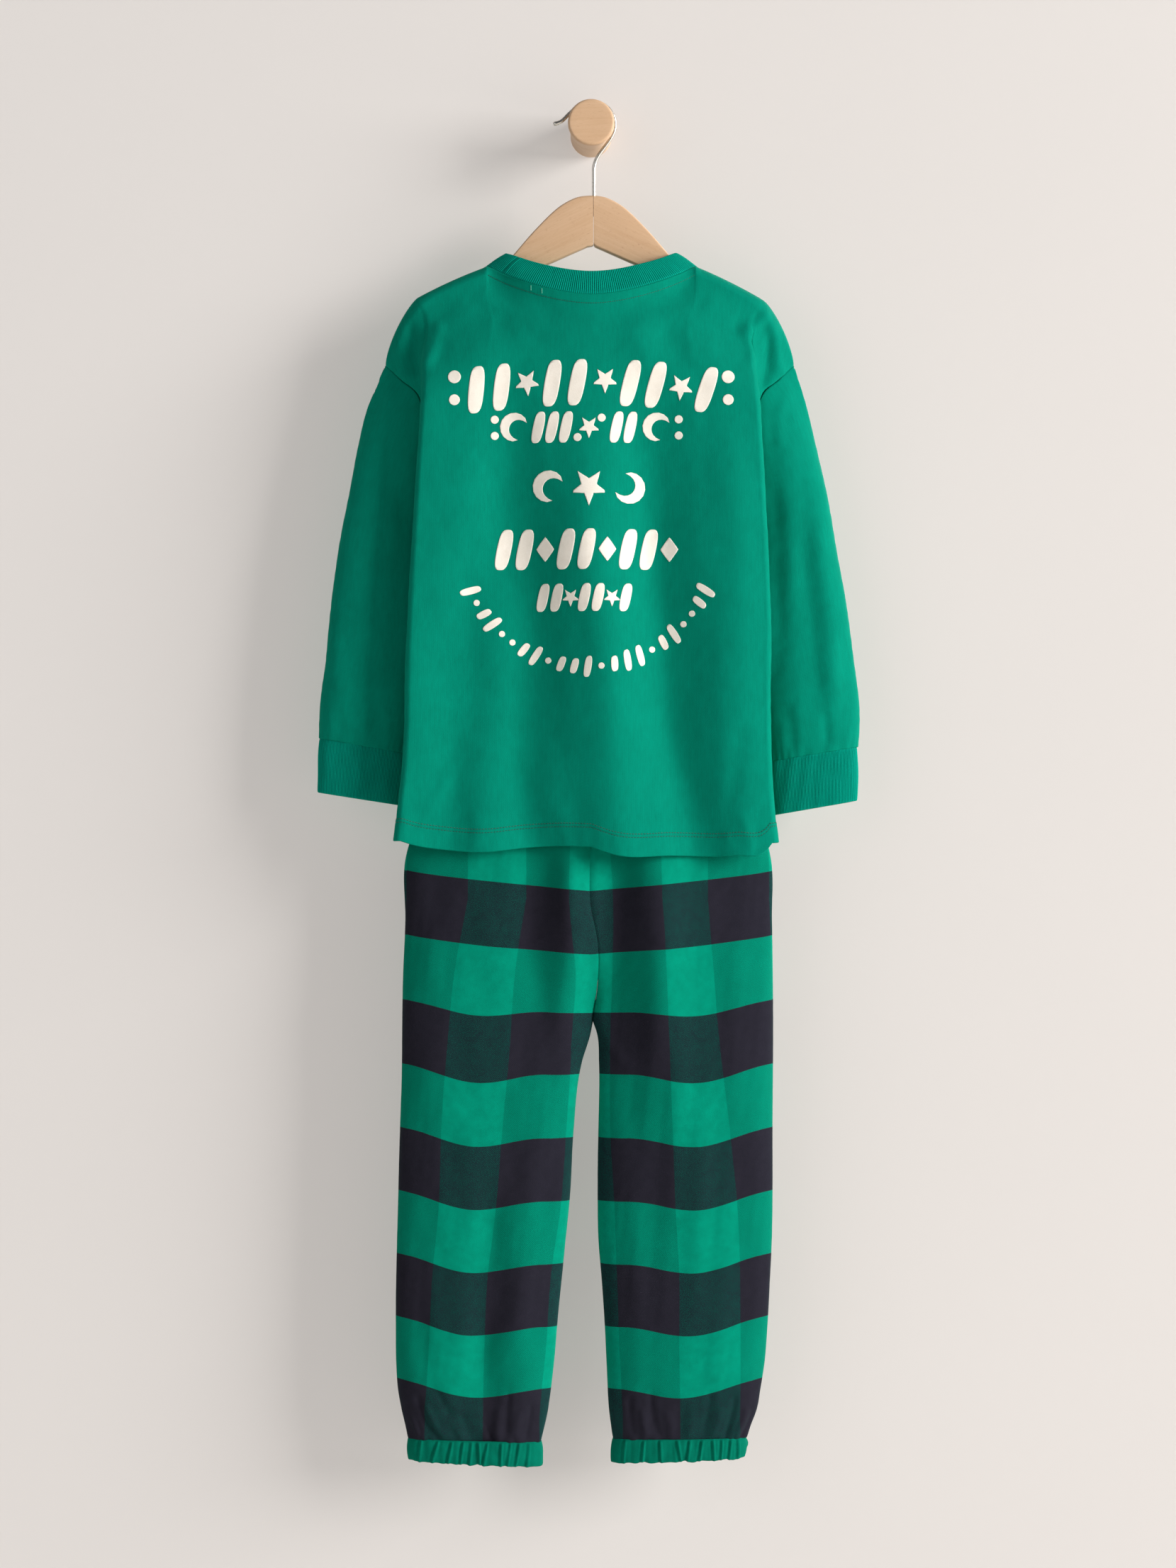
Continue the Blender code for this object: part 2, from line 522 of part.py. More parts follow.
def leg_point(across, z, side, back):
    """Across runs from the centre seam or the inseam to the outseam."""
    start = centre_turn(z)
    turn = mix(start, np.pi, across)
    first = bulge(np.cos(start))
    share = (first - bulge(np.cos(turn))) / (first + 1)
    seam = side["sign"] * curve(CENTRE_SEAM)(z)
    near = np.where(z > CROTCH, seam, curve(side["leg_in"])(z))
    x = side["sign"] * mix(near, curve(side["leg_out"])(z), share)
    depth = curve(LEG_DEPTH)(z) * bulge(np.sin(turn))
    if back:
        depth = depth + folds(x, z, LEG_FOLDS) * np.sin(turn)
    middle = mix(LEG_SEAM_Y, LEG_Y, np.sin(turn))
    return np.stack([x, middle - depth if back else middle + depth, z], -1)


LEG_ROWS = np.array([0, 0.07, 0.14, 0.22, 0.3, 0.335, 0.36, 0.375,
                     0.42, 0.5, 0.6, 0.7, 0.8, 0.88, 0.94, 0.975, 1])


def leg_panel(side, back):
    across, share = np.meshgrid(np.linspace(0, 1, 9), LEG_ROWS)
    (far, far_z), (near, near_z) = side["band_seam"]
    place = oval_place(np.pi * across)
    z = mix(WAIST_SEAM, mix(near_z, far_z, place), share)
    grid = leg_point(across, z, side, back)
    sign = side["sign"]

    def trim(layer):
        inner = layer[:, :2]
        above = inner[..., 2] > CROTCH - 6
        limit = curve(CENTRE_SEAM)(inner[..., 2]) + sign * GAP / 2
        inner[..., 0] = np.where(above, np.maximum(inner[..., 0] * sign, limit * sign) * sign, inner[..., 0])
        seam = LEG_SEAM_Y + (-GAP / 2 if back else GAP / 2)
        for column in (0, -1):
            y = layer[:, column, 1]
            layer[:, column, 1] = np.minimum(y, seam) if back else np.maximum(y, seam)
        layer[0, :, 2] = WAIST_SEAM - GAP / 2
        layer[-1, :, 2] = z[-1] + GAP / 2
    name = f"leg_{side['name']}_{'back' if back else 'front'}"
    wall(name, grid, FLANNEL, GREEN_CHECK, trim=trim)


def waistband():
    turn = np.linspace(0, 2 * np.pi, 28, endpoint=False)
    share = np.array([0, 0.5, 1])[:, None] + 0 * turn
    far = curve(RIGHT["leg_out"])(WAIST_SEAM)
    near = -curve(LEFT["leg_out"])(WAIST_SEAM)
    x, out = oval(turn, near, far, curve(LEG_DEPTH)(WAIST_SEAM) + 0 * share)
    x = x - WAIST_PINCH * np.sign(x) * np.sin(np.pi * share) * np.abs(x) / far
    z = mix(WAIST_TOP, WAIST_SEAM, share)

    def trim(layer):
        layer[-1, :, 2] = WAIST_SEAM + GAP / 2
    wall("waistband", np.stack([x, LEG_Y + out, z], -1), RIB, GREEN_FLANNEL, ring=True, trim=trim)


def ankle_band(side):
    turn = np.linspace(0, 2 * np.pi, 24, endpoint=False)
    share = np.array([0, 0.5, 1])[:, None] + 0 * turn
    (far, far_z), (near, near_z) = side["band_seam"]
    (end_far, end_far_z), (end_near, end_near_z) = side["band_end"]
    across = oval_place(turn)
    x, out = oval(turn, mix(near, end_near, share), mix(far, end_far, share), mix(*ANKLE_DEPTH, share))
    z = mix(mix(far_z, near_z, across), mix(end_far_z, end_near_z, across), share)

    def trim(layer):
        layer[0, :, 2] = mix(far_z, near_z, across) - GAP / 2
    grid = np.stack([side["sign"] * x, LEG_Y - 1 + out, z], -1)
    wall(f"ankle_band_{side['name']}", grid, RIB, GREEN_FLANNEL, ring=True, trim=trim)


for old in list(bpy.data.objects):
    bpy.data.objects.remove(old)

WOOD = material("beech", (0.78, 0.58, 0.38), 0.5)
STEEL = material("steel", (0.7, 0.7, 0.7), 0.3, 1.0)
GREEN_JERSEY = material("green jersey", (0.0, 0.25, 0.16), 0.85)
GREEN_RIB = material("green rib", (0.0, 0.21, 0.13), 0.85)
GREEN_CHECK = material("green check flannel", (0.01, 0.16, 0.1), 0.95)
GREEN_FLANNEL = material("green flannel", (0.0, 0.25, 0.15), 0.95)

peg()
hook()
for each in (LEFT, RIGHT):
    hanger_arm(each)
back_panel, back_out, neck_span = top_panel(back=True)
front_panel, front_out, _ = top_panel(back=False)
collar(back_panel, front_panel, back_out, front_out, neck_span)
for each in (LEFT, RIGHT):
    sleeve(each, back_panel, front_panel, back_out, front_out)
    cuff(each)
    for is_back in (True, False):
        leg_panel(each, is_back)
    ankle_band(each)
waistband()
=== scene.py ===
import bpy
import numpy as np
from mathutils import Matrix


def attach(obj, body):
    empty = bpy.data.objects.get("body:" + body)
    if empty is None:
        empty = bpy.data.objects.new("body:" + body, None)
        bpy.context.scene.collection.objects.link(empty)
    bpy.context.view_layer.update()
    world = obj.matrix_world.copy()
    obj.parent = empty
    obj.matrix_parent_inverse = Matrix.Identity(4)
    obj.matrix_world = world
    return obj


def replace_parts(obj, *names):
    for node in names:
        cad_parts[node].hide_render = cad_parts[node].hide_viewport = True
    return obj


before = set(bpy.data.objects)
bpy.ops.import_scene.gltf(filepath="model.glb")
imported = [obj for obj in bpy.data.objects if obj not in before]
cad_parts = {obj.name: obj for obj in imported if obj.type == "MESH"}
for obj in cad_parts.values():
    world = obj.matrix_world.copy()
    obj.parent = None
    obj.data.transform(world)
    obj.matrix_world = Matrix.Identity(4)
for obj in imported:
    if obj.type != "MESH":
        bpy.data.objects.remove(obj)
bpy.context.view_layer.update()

mm = 0.001                      # tables and shapes are worked out in millimetres, meshes are in metres
gap = 0.3                       # between two pieces at a seam
collection = bpy.context.scene.collection


# smooth step from 0 to 1: 3s^2 - 2s^3
def ease(share):
    share = np.clip(share, 0, 1)
    return share * share * (3 - 2 * share)


# straight blend: a + (b - a) s
def mix(a, b, share):
    return a + (b - a) * share


# smooth line through (place, value): a cubic on each stretch, whose slopes are those of the neighbours
def curve(points):
    place, value = np.array(sorted(points), float).T
    slope = np.gradient(value, place)

    def at(where):
        where = np.clip(where, place[0], place[-1])
        i = np.clip(np.searchsorted(place, where) - 1, 0, len(place) - 2)
        step = place[i + 1] - place[i]
        u = (where - place[i]) / step
        return (value[i] * (1 + 2 * u) * (1 - u) ** 2 + value[i + 1] * u * u * (3 - 2 * u)
                + step * (slope[i] * u * (1 - u) ** 2 - slope[i + 1] * u * u * (1 - u)))
    return at


# long folds: height(z) * exp(-((x - line(z)) / halfWidth)^2), added up
def longFolds(x, z, table):
    return sum(curve(height)(z) * np.exp(-((x - curve(line)(z)) / halfWidth) ** 2)
               for line, height, halfWidth in table)


# creases: height * exp(-(distance to a bent line / width)^2), fading out towards both of its ends
def creases(x, z, table):
    relief = 0 * x
    for x0, z0, x1, z1, bend, width, height in table:
        run = np.hypot(x1 - x0, z1 - z0)
        along = ((x - x0) * (x1 - x0) + (z - z0) * (z1 - z0)) / run ** 2
        off = ((x - x0) * (z1 - z0) - (z - z0) * (x1 - x0)) / run - 4 * bend * along * (1 - along)
        relief = relief + height * np.exp(-(off / width) ** 2) * ease((0.5 - np.abs(along - 0.5)) / 0.2)
    return relief


# loose unevenness: seven plane waves about one size long, with seeded directions and phases
def unevenness(x, z, size, seed):
    waves = np.random.default_rng(seed).uniform((0, 0, 0.7), (np.pi, 2 * np.pi, 1.6), (7, 3))
    total = sum(np.sin((x * np.cos(turn) + z * np.sin(turn)) * 2 * np.pi / (size * stretch) + phase)
                for turn, phase, stretch in waves)
    return total / np.sqrt(7)


# fills a sine or cosine out, which turns an ellipse into a flatter oval: sign(v) |v|^0.8
def bulge(value):
    return np.sign(value) * np.abs(value) ** 0.8


def ovalPlace(turn):
    return 0.5 - 0.5 * bulge(np.cos(turn))


# flattened oval from the outer edge (turn 0) over the back to the inner edge (turn pi)
def oval(turn, near, far, depth):
    return mix(far, near, ovalPlace(turn)), -bulge(np.sin(turn)) * depth


# unit normals: the step down a column crossed with the step along a row
def gridNormals(grid, ring=False):
    across = np.roll(grid, -1, 1) - np.roll(grid, 1, 1) if ring else np.gradient(grid, axis=1)
    normal = np.cross(np.gradient(grid, axis=0), across)
    return normal / np.maximum(np.linalg.norm(normal, axis=2, keepdims=True), 1e-9)


# distance walked from the first column or row
def walked(grid, axis):
    step = np.linalg.norm(np.diff(grid, axis=axis), axis=-1)
    return np.concatenate([np.zeros_like(step.take([0], axis)), np.cumsum(step, axis)], axis)


# a mesh piece on the one body; faces is a table or a list, sharp the angle above which an edge stays crisp
def addPiece(name, points, faces, uv, material, sharp=None):
    mesh = bpy.data.meshes.new(name)
    mesh.from_pydata((points.reshape(-1, 3) * mm).tolist(), [],
                     faces if isinstance(faces, list) else faces.tolist())
    if uv is not None:
        mesh.uv_layers.new(name="cloth").data.foreach_set("uv", (uv * mm).ravel())
    mesh.shade_smooth()
    if sharp:
        mesh.set_sharp_from_angle(angle=sharp)
    mesh.materials.append(material)
    piece = bpy.data.objects.new(name, mesh)
    collection.objects.link(piece)
    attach(piece, "root")
    return piece


# quads of a grid of numbers, facing the side that gridNormals points to
def cells(number):
    quads = np.stack([number[:-1, :-1], number[1:, :-1], number[1:, 1:], number[:-1, 1:]], -1)
    return quads.reshape(-1, 4)


# faces of a solid bar made of rings, closed by one flat face at both ends
def barFaces(rings, sides):
    number = np.arange(rings * sides).reshape(rings, sides)
    quads = cells(np.concatenate([number, number[:, :1]], 1)).tolist()
    return quads + [number[0].tolist(), number[-1, ::-1].tolist()]


# closed cloth shell: the grid moved half a thickness both ways along its normals, with a rounded rim;
# raised stands the outer layer out by more, as ribs do
def shellParts(grid, thickness, uv, ring=False, flip=False, trim=None, rim=0.35, raised=0.0):
    raised = raised + 0 * grid[..., 0]
    if flip:
        grid, uv, raised = grid[:, ::-1], uv[:, ::-1], raised[:, ::-1]
        if ring:
            grid, raised = np.roll(grid, 1, 1), np.roll(raised, 1, 1)
    normals = gridNormals(grid, ring)
    outer, inner = grid + normals * (thickness / 2 + raised)[..., None], grid - normals * thickness / 2
    if trim:
        trim(outer)
        trim(inner)
    rows, columns = grid.shape[:2]
    point = np.arange(rows * columns).reshape(rows, columns)
    if ring:
        point = np.concatenate([point, point[:, :1]], 1)
    corner = np.arange(uv.shape[0] * uv.shape[1]).reshape(uv.shape[:2])
    down, along = np.indices(point.shape)
    if ring:
        loops = [(down[0], along[0]), (down[-1], along[-1, ::-1])]
    else:
        loops = [tuple(np.concatenate([n[0, :-1], n[:-1, -1], n[-1, :0:-1], n[:0:-1, 0], n[0, :1]])
                       for n in (down, along))]
    points = [outer.reshape(-1, 3), inner.reshape(-1, 3)]
    faces = [cells(point), cells(point)[:, ::-1] + point.max() + 1]
    corners = [cells(corner), cells(corner)[:, ::-1]]
    total = 2 * rows * columns
    for r, c in loops:
        near = grid[np.clip(r, 1, rows - 2), c % columns if ring else np.clip(c, 1, columns - 2)]
        here = (outer[r, c % columns] + inner[r, c % columns]) / 2
        away = here - near
        depth = np.linalg.norm(outer[r, c % columns] - inner[r, c % columns], axis=1, keepdims=True)
        middle = here + away / np.maximum(np.linalg.norm(away, axis=1, keepdims=True), 1e-9) * depth * rim
        points.append(middle[:-1])
        between = total + np.append(np.arange(len(r) - 1), 0)
        total += len(r) - 1
        front, back, uvRow = point[r, c], point[r, c] + rows * columns, corner[r, c]
        for a, b in ((front, between), (between, back)):
            faces.append(np.stack([a[:-1], a[1:], b[1:], b[:-1]], -1))
            corners.append(np.stack([uvRow[:-1], uvRow[1:], uvRow[1:], uvRow[:-1]], -1))
    return np.concatenate(points), np.concatenate(faces), uv.reshape(-1, 2)[np.concatenate(corners)]


def clothPiece(name, node, material, slot, grid, thickness, uv, **options):
    points, faces, corners = shellParts(grid, thickness, uv, **options)
    piece = addPiece(name, points, faces, corners, material)
    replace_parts(piece, node)
    return piece


# materials

# a socket whose sums add Math nodes to its tree
class Wire:
    def __init__(self, tree, socket=None):
        self.tree, self.socket = tree, socket

    # any node: its type, its settings, the values or links of its sockets
    def node(self, kind, settings=None, sockets=None, output=0):
        made = self.tree.nodes.new("ShaderNode" + kind)
        for name, value in (settings or {}).items():
            if name == "stops":
                while len(made.color_ramp.elements) < len(value):
                    made.color_ramp.elements.new(0.5)
                for element, (place, colour) in zip(made.color_ramp.elements, value):
                    element.position, element.color = place, colour
            else:
                setattr(made, name, value)
        for name, value in (sockets or {}).items():
            if isinstance(value, Wire):
                self.tree.links.new(value.socket, made.inputs[name])
            else:
                made.inputs[name].default_value = value
        return Wire(self.tree, made.outputs[output])

    def maths(self, operation, first, second=0.0, clamp=False):
        return self.node("Math", {"operation": operation, "use_clamp": clamp}, {0: first, 1: second})

    def __add__(self, other): return self.maths("ADD", self, other)
    def __radd__(self, other): return self.maths("ADD", other, self)
    def __sub__(self, other): return self.maths("SUBTRACT", self, other)
    def __rsub__(self, other): return self.maths("SUBTRACT", other, self)
    def __mul__(self, other): return self.maths("MULTIPLY", self, other)
    def __rmul__(self, other): return self.maths("MULTIPLY", other, self)
    def __truediv__(self, other): return self.maths("DIVIDE", self, other)
    def sine(self): return self.maths("SINE", self)
    def clamped(self): return self.maths("ADD", self, 0.0, clamp=True)

    def step(self, low, high):
        return self.node("MapRange", {"interpolation_type": "SMOOTHSTEP"},
                         {"Value": self, "From Min": low, "From Max": high})

    def colour(self, a, b):
        return self.node("Mix", {"data_type": "RGBA"}, {0: self, 6: a, 7: b}, 2)


def rgb(red, green, blue):      # screen colour 0..255 to linear light
    share = np.array([red, green, blue]) / 255
    return (*np.where(share <= 0.04045, share / 12.92, ((share + 0.055) / 1.055) ** 2.4).tolist(), 1)


def newMaterial(name, **constants):
    made = bpy.data.materials.new(name)
    made.use_nodes = True
    shader = made.node_tree.nodes["Principled BSDF"]
    for socket, value in constants.items():
        shader.inputs[socket.replace("_", " ")].default_value = value
    return made, Wire(made.node_tree), shader


def plug(wire, shader, **inputs):
    for socket, value in inputs.items():
        wire.tree.links.new(value.socket, shader.inputs[socket.replace("_", " ")])


# cloth coordinates in millimetres: across the cloth, along it, and both as a vector
def clothPlaces(wire):
    vector = wire.node("UVMap", {"uv_map": "cloth"})
    scaled = wire.node("VectorMath", {"operation": "SCALE"}, {0: vector, "Scale": 1000.0})
    return (wire.node("SeparateXYZ", {}, {0: scaled}, 0), wire.node("SeparateXYZ", {}, {0: scaled}, 1),
            scaled)


# the object's own coordinates in millimetres, turned about Y
def solidPlaces(wire, angle=0.0):
    place = wire.node("TexCoord", {}, {}, 3)
    return wire.node("Mapping", {}, {"Vector": place, "Rotation": (0, angle, 0), "Scale": (1000, 1000, 1000)})


def grainNoise(wire, vector, stretch, size, detail=2.0, roughness=0.6):
    placed = wire.node("Mapping", {}, {"Vector": vector, "Scale": tuple(1 / (size * s) for s in stretch)})
    return wire.node("TexNoise", {"noise_dimensions": "3D"},
                     {"Vector": placed, "Scale": 1.0, "Detail": detail, "Roughness": roughness})


jerseyFinish = {
    "deep": rgb(0, 108, 88), "light": rgb(0, 143, 119),
    "wale": 0.95, "course": 0.8,        # width of a knit stitch and height of a course, mm
    "rib": 2.0,                         # width of one rib and its groove, mm
    "bump": 0.25,
}


def jerseyMaterial(name, finish, ribbed=False):
    made, wire, shader = newMaterial(name, Roughness=0.9, Sheen_Weight=0.1, Sheen_Roughness=0.4,
                                     Sheen_Tint=rgb(40, 220, 180), Specular_IOR_Level=0.04)
    across, along, vector = clothPlaces(wire)
    wale = (across * (2 * np.pi / finish["wale"])).sine()
    course = (along * (2 * np.pi / finish["course"]) + wale * 0.9).sine()
    fibre = grainNoise(wire, vector, (1, 1, 1), 0.9, 3.0, 0.7)
    streak = grainNoise(wire, vector, (1, 6, 1), 2.2, 2.0)
    cloud = grainNoise(wire, vector, (1, 1.3, 1), 24.0, 2.0)
    tone = fibre * 0.75 + streak * 0.55 + cloud * 0.35 + course * 0.05 - 0.33
    if ribbed:
        # painted shade: the colour is darkened along the rib grooves, where shade falls between the ribs
        groove = (across * (2 * np.pi / finish["rib"]) + np.pi / 2).sine().step(0.0, 0.95)
        tone = tone * 0.6 + 0.4 - groove * 0.75
    base = tone.clamped().colour(finish["deep"], finish["light"])
    height = course * 0.3 + wale * 0.15 + fibre * 0.9
    bump = wire.node("Bump", {}, {"Strength": finish["bump"], "Distance": 0.0006, "Height": height})
    plug(wire, shader, Base_Color=base, Normal=bump, Roughness=0.82 + fibre * 0.16)
    return made


flannelFinish = {
    "green": rgb(0, 158, 129), "greenDeep": rgb(0, 104, 83),
    "dark": rgb(42, 40, 51), "darkDeep": rgb(29, 28, 36),
    "shade": rgb(0, 82, 66),            # dark yarn seen through the green nap
    "fleck": rgb(6, 92, 80),            # green yarn seen through the dark nap
    "ground": rgb(24, 36, 43),          # and the dark nap over it
    "band": 56.2,                       # width of one stripe of the check, mm
    "twill": 1.5,                       # distance between two diagonal twill lines, mm
    "edge": 0.35,                       # how ragged a stripe's edge is, mm
    "bump": 0.35,
}


def flannelMaterial(name, finish, checked):
    made, wire, shader = newMaterial(name, Roughness=0.95, Sheen_Weight=0.08, Sheen_Roughness=0.4,
                                     Sheen_Tint=rgb(60, 200, 165), Specular_IOR_Level=0.04)
    across, along, vector = clothPlaces(wire)
    fuzz = grainNoise(wire, vector, (1, 1, 1), 0.62, 3.0, 0.8)
    cloud = grainNoise(wire, vector, (1, 1, 1), 9.0, 3.0, 0.6)
    wide = grainNoise(wire, vector, (1, 1, 1), 34.0, 2.0)
    twill = ((across + along) * (2 * np.pi / finish["twill"]) + cloud * 1.5).sine()
    tone = (fuzz * 0.9 + cloud * 0.5 + wide * 0.3 - 0.35).clamped()
    green = tone.colour(finish["greenDeep"], finish["green"])
    base = green
    if checked:
        dark = tone.colour(finish["darkDeep"], finish["dark"])
        jitter = (fuzz - 0.5) * (2 * finish["edge"])
        warp = (0.5 - ((across + jitter) * (np.pi / finish["band"])).sine() * 45).clamped()
        weft = (0.5 + ((along + jitter) * (np.pi / finish["band"])).sine() * 45).clamped()
        speck = fuzz * 3.0 + twill * 0.22 + cloud * 0.3 - 1.65
        overGreen = (speck.step(-0.35, 0.45) * 0.8).colour(green, finish["shade"])
        overDark = (speck.step(0.0, 0.4) * 0.75).colour(finish["ground"], finish["fleck"])
        base = weft.colour(warp.colour(green, overGreen), warp.colour(overDark, dark))
    bump = wire.node("Bump", {}, {"Strength": finish["bump"], "Distance": 0.0008,
                                  "Height": fuzz + cloud * 0.4 + twill * 0.06})
    plug(wire, shader, Base_Color=base, Normal=bump, Roughness=0.88 + fuzz * 0.12)
    return made


beechFinish = {
    "pale": rgb(212, 179, 146), "warm": rgb(193, 155, 119), "fleck": rgb(150, 106, 72),
    "grain": 1.9,                       # distance between grain lines, mm
    "bump": 0.12,
}


# beech: long soft grain along one direction, with short dark rays; turned by an angle about Y
def beechMaterial(name, finish, angle):
    made, wire, shader = newMaterial(name, Specular_IOR_Level=0.4)
    metric = solidPlaces(wire, angle)
    grain = grainNoise(wire, metric, (38, 1, 1), finish["grain"], 4.0, 0.62)
    broad = grainNoise(wire, metric, (26, 4, 6), 3.0, 2.0)
    rays = grainNoise(wire, metric, (7, 1, 0.8), 0.55, 1.0, 0.4).step(0.66, 0.74)
    pores = grainNoise(wire, metric, (14, 1, 0.7), 0.42, 2.0, 0.6).step(0.62, 0.72)
    tone = (grain * 0.9 + broad * 0.7 - 0.32).clamped()
    wood = tone.colour(finish["warm"], finish["pale"])
    base = (rays * 0.35 + pores * 0.2).clamped().colour(wood, finish["fleck"])
    bump = wire.node("Bump", {}, {"Strength": finish["bump"], "Distance": 0.0004,
                                  "Height": grain * 0.6 - rays * 0.4 - pores * 0.3})
    plug(wire, shader, Base_Color=base, Normal=bump, Roughness=0.42 + grain * 0.14 + rays * 0.1)
    return made


def steelMaterial():
    made, wire, shader = newMaterial("steelWire", Metallic=1.0)
    metric = solidPlaces(wire)
    wear = grainNoise(wire, metric, (1, 1, 4), 1.4, 3.0)
    base = wear.colour(rgb(196, 190, 180), rgb(232, 228, 220))
    plug(wire, shader, Base_Color=base, Roughness=0.2 + wear * 0.18)
    return made


def inkMaterial():
    made, wire, shader = newMaterial("printInk", Specular_IOR_Level=0.25)
    metric = solidPlaces(wire)
    fine = grainNoise(wire, metric, (1, 1, 1), 0.9, 3.0, 0.7)
    cloud = grainNoise(wire, metric, (1, 1, 1), 7.0, 2.0)
    base = (fine * 0.7 + cloud * 0.5 - 0.1).clamped().colour(rgb(226, 217, 202), rgb(246, 240, 230))
    bump = wire.node("Bump", {}, {"Strength": 0.3, "Distance": 0.0004, "Height": fine})
    plug(wire, shader, Base_Color=base, Normal=bump, Roughness=0.62 + fine * 0.2)
    return made


def threadMaterial(name, low, high):
    made, wire, shader = newMaterial(name, Sheen_Weight=0.2, Specular_IOR_Level=0.3)
    metric = solidPlaces(wire)
    twist = grainNoise(wire, metric, (1, 1, 1), 0.4, 2.0)
    plug(wire, shader, Base_Color=twist.colour(low, high), Roughness=0.6 + twist * 0.3)
    return made


jersey = jerseyMaterial("greenJersey", jerseyFinish)
ribFinish = {**jerseyFinish, "deep": rgb(0, 92, 76), "light": rgb(0, 164, 141)}
rib = jerseyMaterial("greenRib", ribFinish, ribbed=True)
check = flannelMaterial("checkFlannel", flannelFinish, True)
plainFinish = {**flannelFinish, "green": rgb(0, 122, 99), "greenDeep": rgb(0, 84, 66)}
plainFlannel = flannelMaterial("plainFlannel", plainFinish, False)
steel = steelMaterial()
ink = inkMaterial()
thread = threadMaterial("greenThread", rgb(0, 62, 48), rgb(0, 92, 72))
paleThread = threadMaterial("paleThread", rgb(60, 170, 140), rgb(120, 210, 185))
print("materials made")


# peg, hook and hanger

peg = {
    # radius, distance from the wall
    "profile": [(17.6, 0), (18.4, 0.8), (18.4, 40), (18.4, 66.4), (18.7, 66.9), (19.6, 67.3), (20.1, 67.8),
                (20.4, 68.8),
                (20.4, 73.4), (20.2, 74.6), (19.7, 75.4), (18.9, 75.9), (17.8, 76), (12, 76), (6, 76),
                (1.5, 76)],
    "sides": 96,
}


# a profile turned about the Y axis: (r cos t, -d, r sin t), closed by a flat face at both ends
def turned(name, profile, sides, material):
    turn = np.linspace(0, 2 * np.pi, sides, endpoint=False)
    radius, depth = np.array(profile, float).T
    rings = np.stack([radius[:, None] * np.cos(turn), -depth[:, None] + 0 * turn,
                      radius[:, None] * np.sin(turn)], -1)
    return addPiece(name, rings, barFaces(len(rings), sides), None, material, sharp=0.9)


pegWood = beechMaterial("beechPeg", beechFinish, 0.04)
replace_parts(turned("wallPeg", peg["profile"], peg["sides"], pegWood), "peg")

hook = {
    "plane": -62.0, "wire": 3.5, "bend": 20.5,
    "shank": [(2.4, -80.7), (2.4, -72), (2.4, -62.7), (2.4, -50), (2.4, -40)],
    "arc": (-24, 136),                  # degrees, round the peg
    "tip": [(-20.3, 8.6), (-24.2, 4.6), (-26.6, 2.6), (-29.3, 1.4), (-31.6, 0.8), (-33.2, 0.5)],
    "flare": 1.25,
}


# a round profile carried along a path in one plane; both ends closed by one flat face
def wirePiece(name, path, radius, plane, material, sides=20):
    tangent = np.gradient(path, axis=0)
    tangent /= np.linalg.norm(tangent, axis=1, keepdims=True)
    side = np.stack([-tangent[:, 1], tangent[:, 0]], 1)
    turn = np.linspace(0, 2 * np.pi, sides, endpoint=False)
    x = path[:, :1] + side[:, :1] * radius[:, None] * np.cos(turn)
    z = path[:, 1:] + side[:, 1:] * radius[:, None] * np.cos(turn)
    y = plane + radius[:, None] * np.sin(turn)
    return addPiece(name, np.stack([x, y, z], -1), barFaces(len(path), sides), None, material)


arcTurn = np.radians(np.linspace(*hook["arc"], 60))
arc = np.stack([0.4 + hook["bend"] * np.cos(arcTurn), hook["bend"] * np.sin(arcTurn)], 1)
reach = np.linspace(0, 1, 20)[1:-1, None]
shankTop = np.array(hook["shank"][-1])
bendOut = shankTop + (0, 13)
bendIn = arc[0] - 13 * np.array([-np.sin(arcTurn[0]), np.cos(arcTurn[0])])
bend = (shankTop * (1 - reach) ** 3 + 3 * bendOut * (1 - reach) ** 2 * reach
        + 3 * bendIn * (1 - reach) * reach ** 2 + arc[0] * reach ** 3)
route = np.concatenate([hook["shank"], bend, arc, hook["tip"]])
wireRadius = np.full(len(route), hook["wire"] / 2)
wireRadius[-3:] *= (1.12, hook["flare"], 0.9)
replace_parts(wirePiece("hookWire", route, wireRadius, hook["plane"], steel), "hook")

hanger = {
    "plane": -62.0, "thickness": 10.0, "edge": 2.4, "drop": 3.2, "sides": 48,
    "joint": 2.0, "jointWidth": 2.6,    # where the two arms meet, and how far from there the first rings lean
    "top": [(0, -62.7), (12, -64.3), (26, -71.2), (48.4, -92), (68, -114.5), (76, -124), (84, -129.5),
            (100, -135),
            (120, -143), (140, -152.5), (147.5, -158), (150.8, -163.5), (151, -166)],
    "under": [(0, -106.4), (143, -170.0), (148, -171.6), (150.8, -168.5), (151, -166)],
}


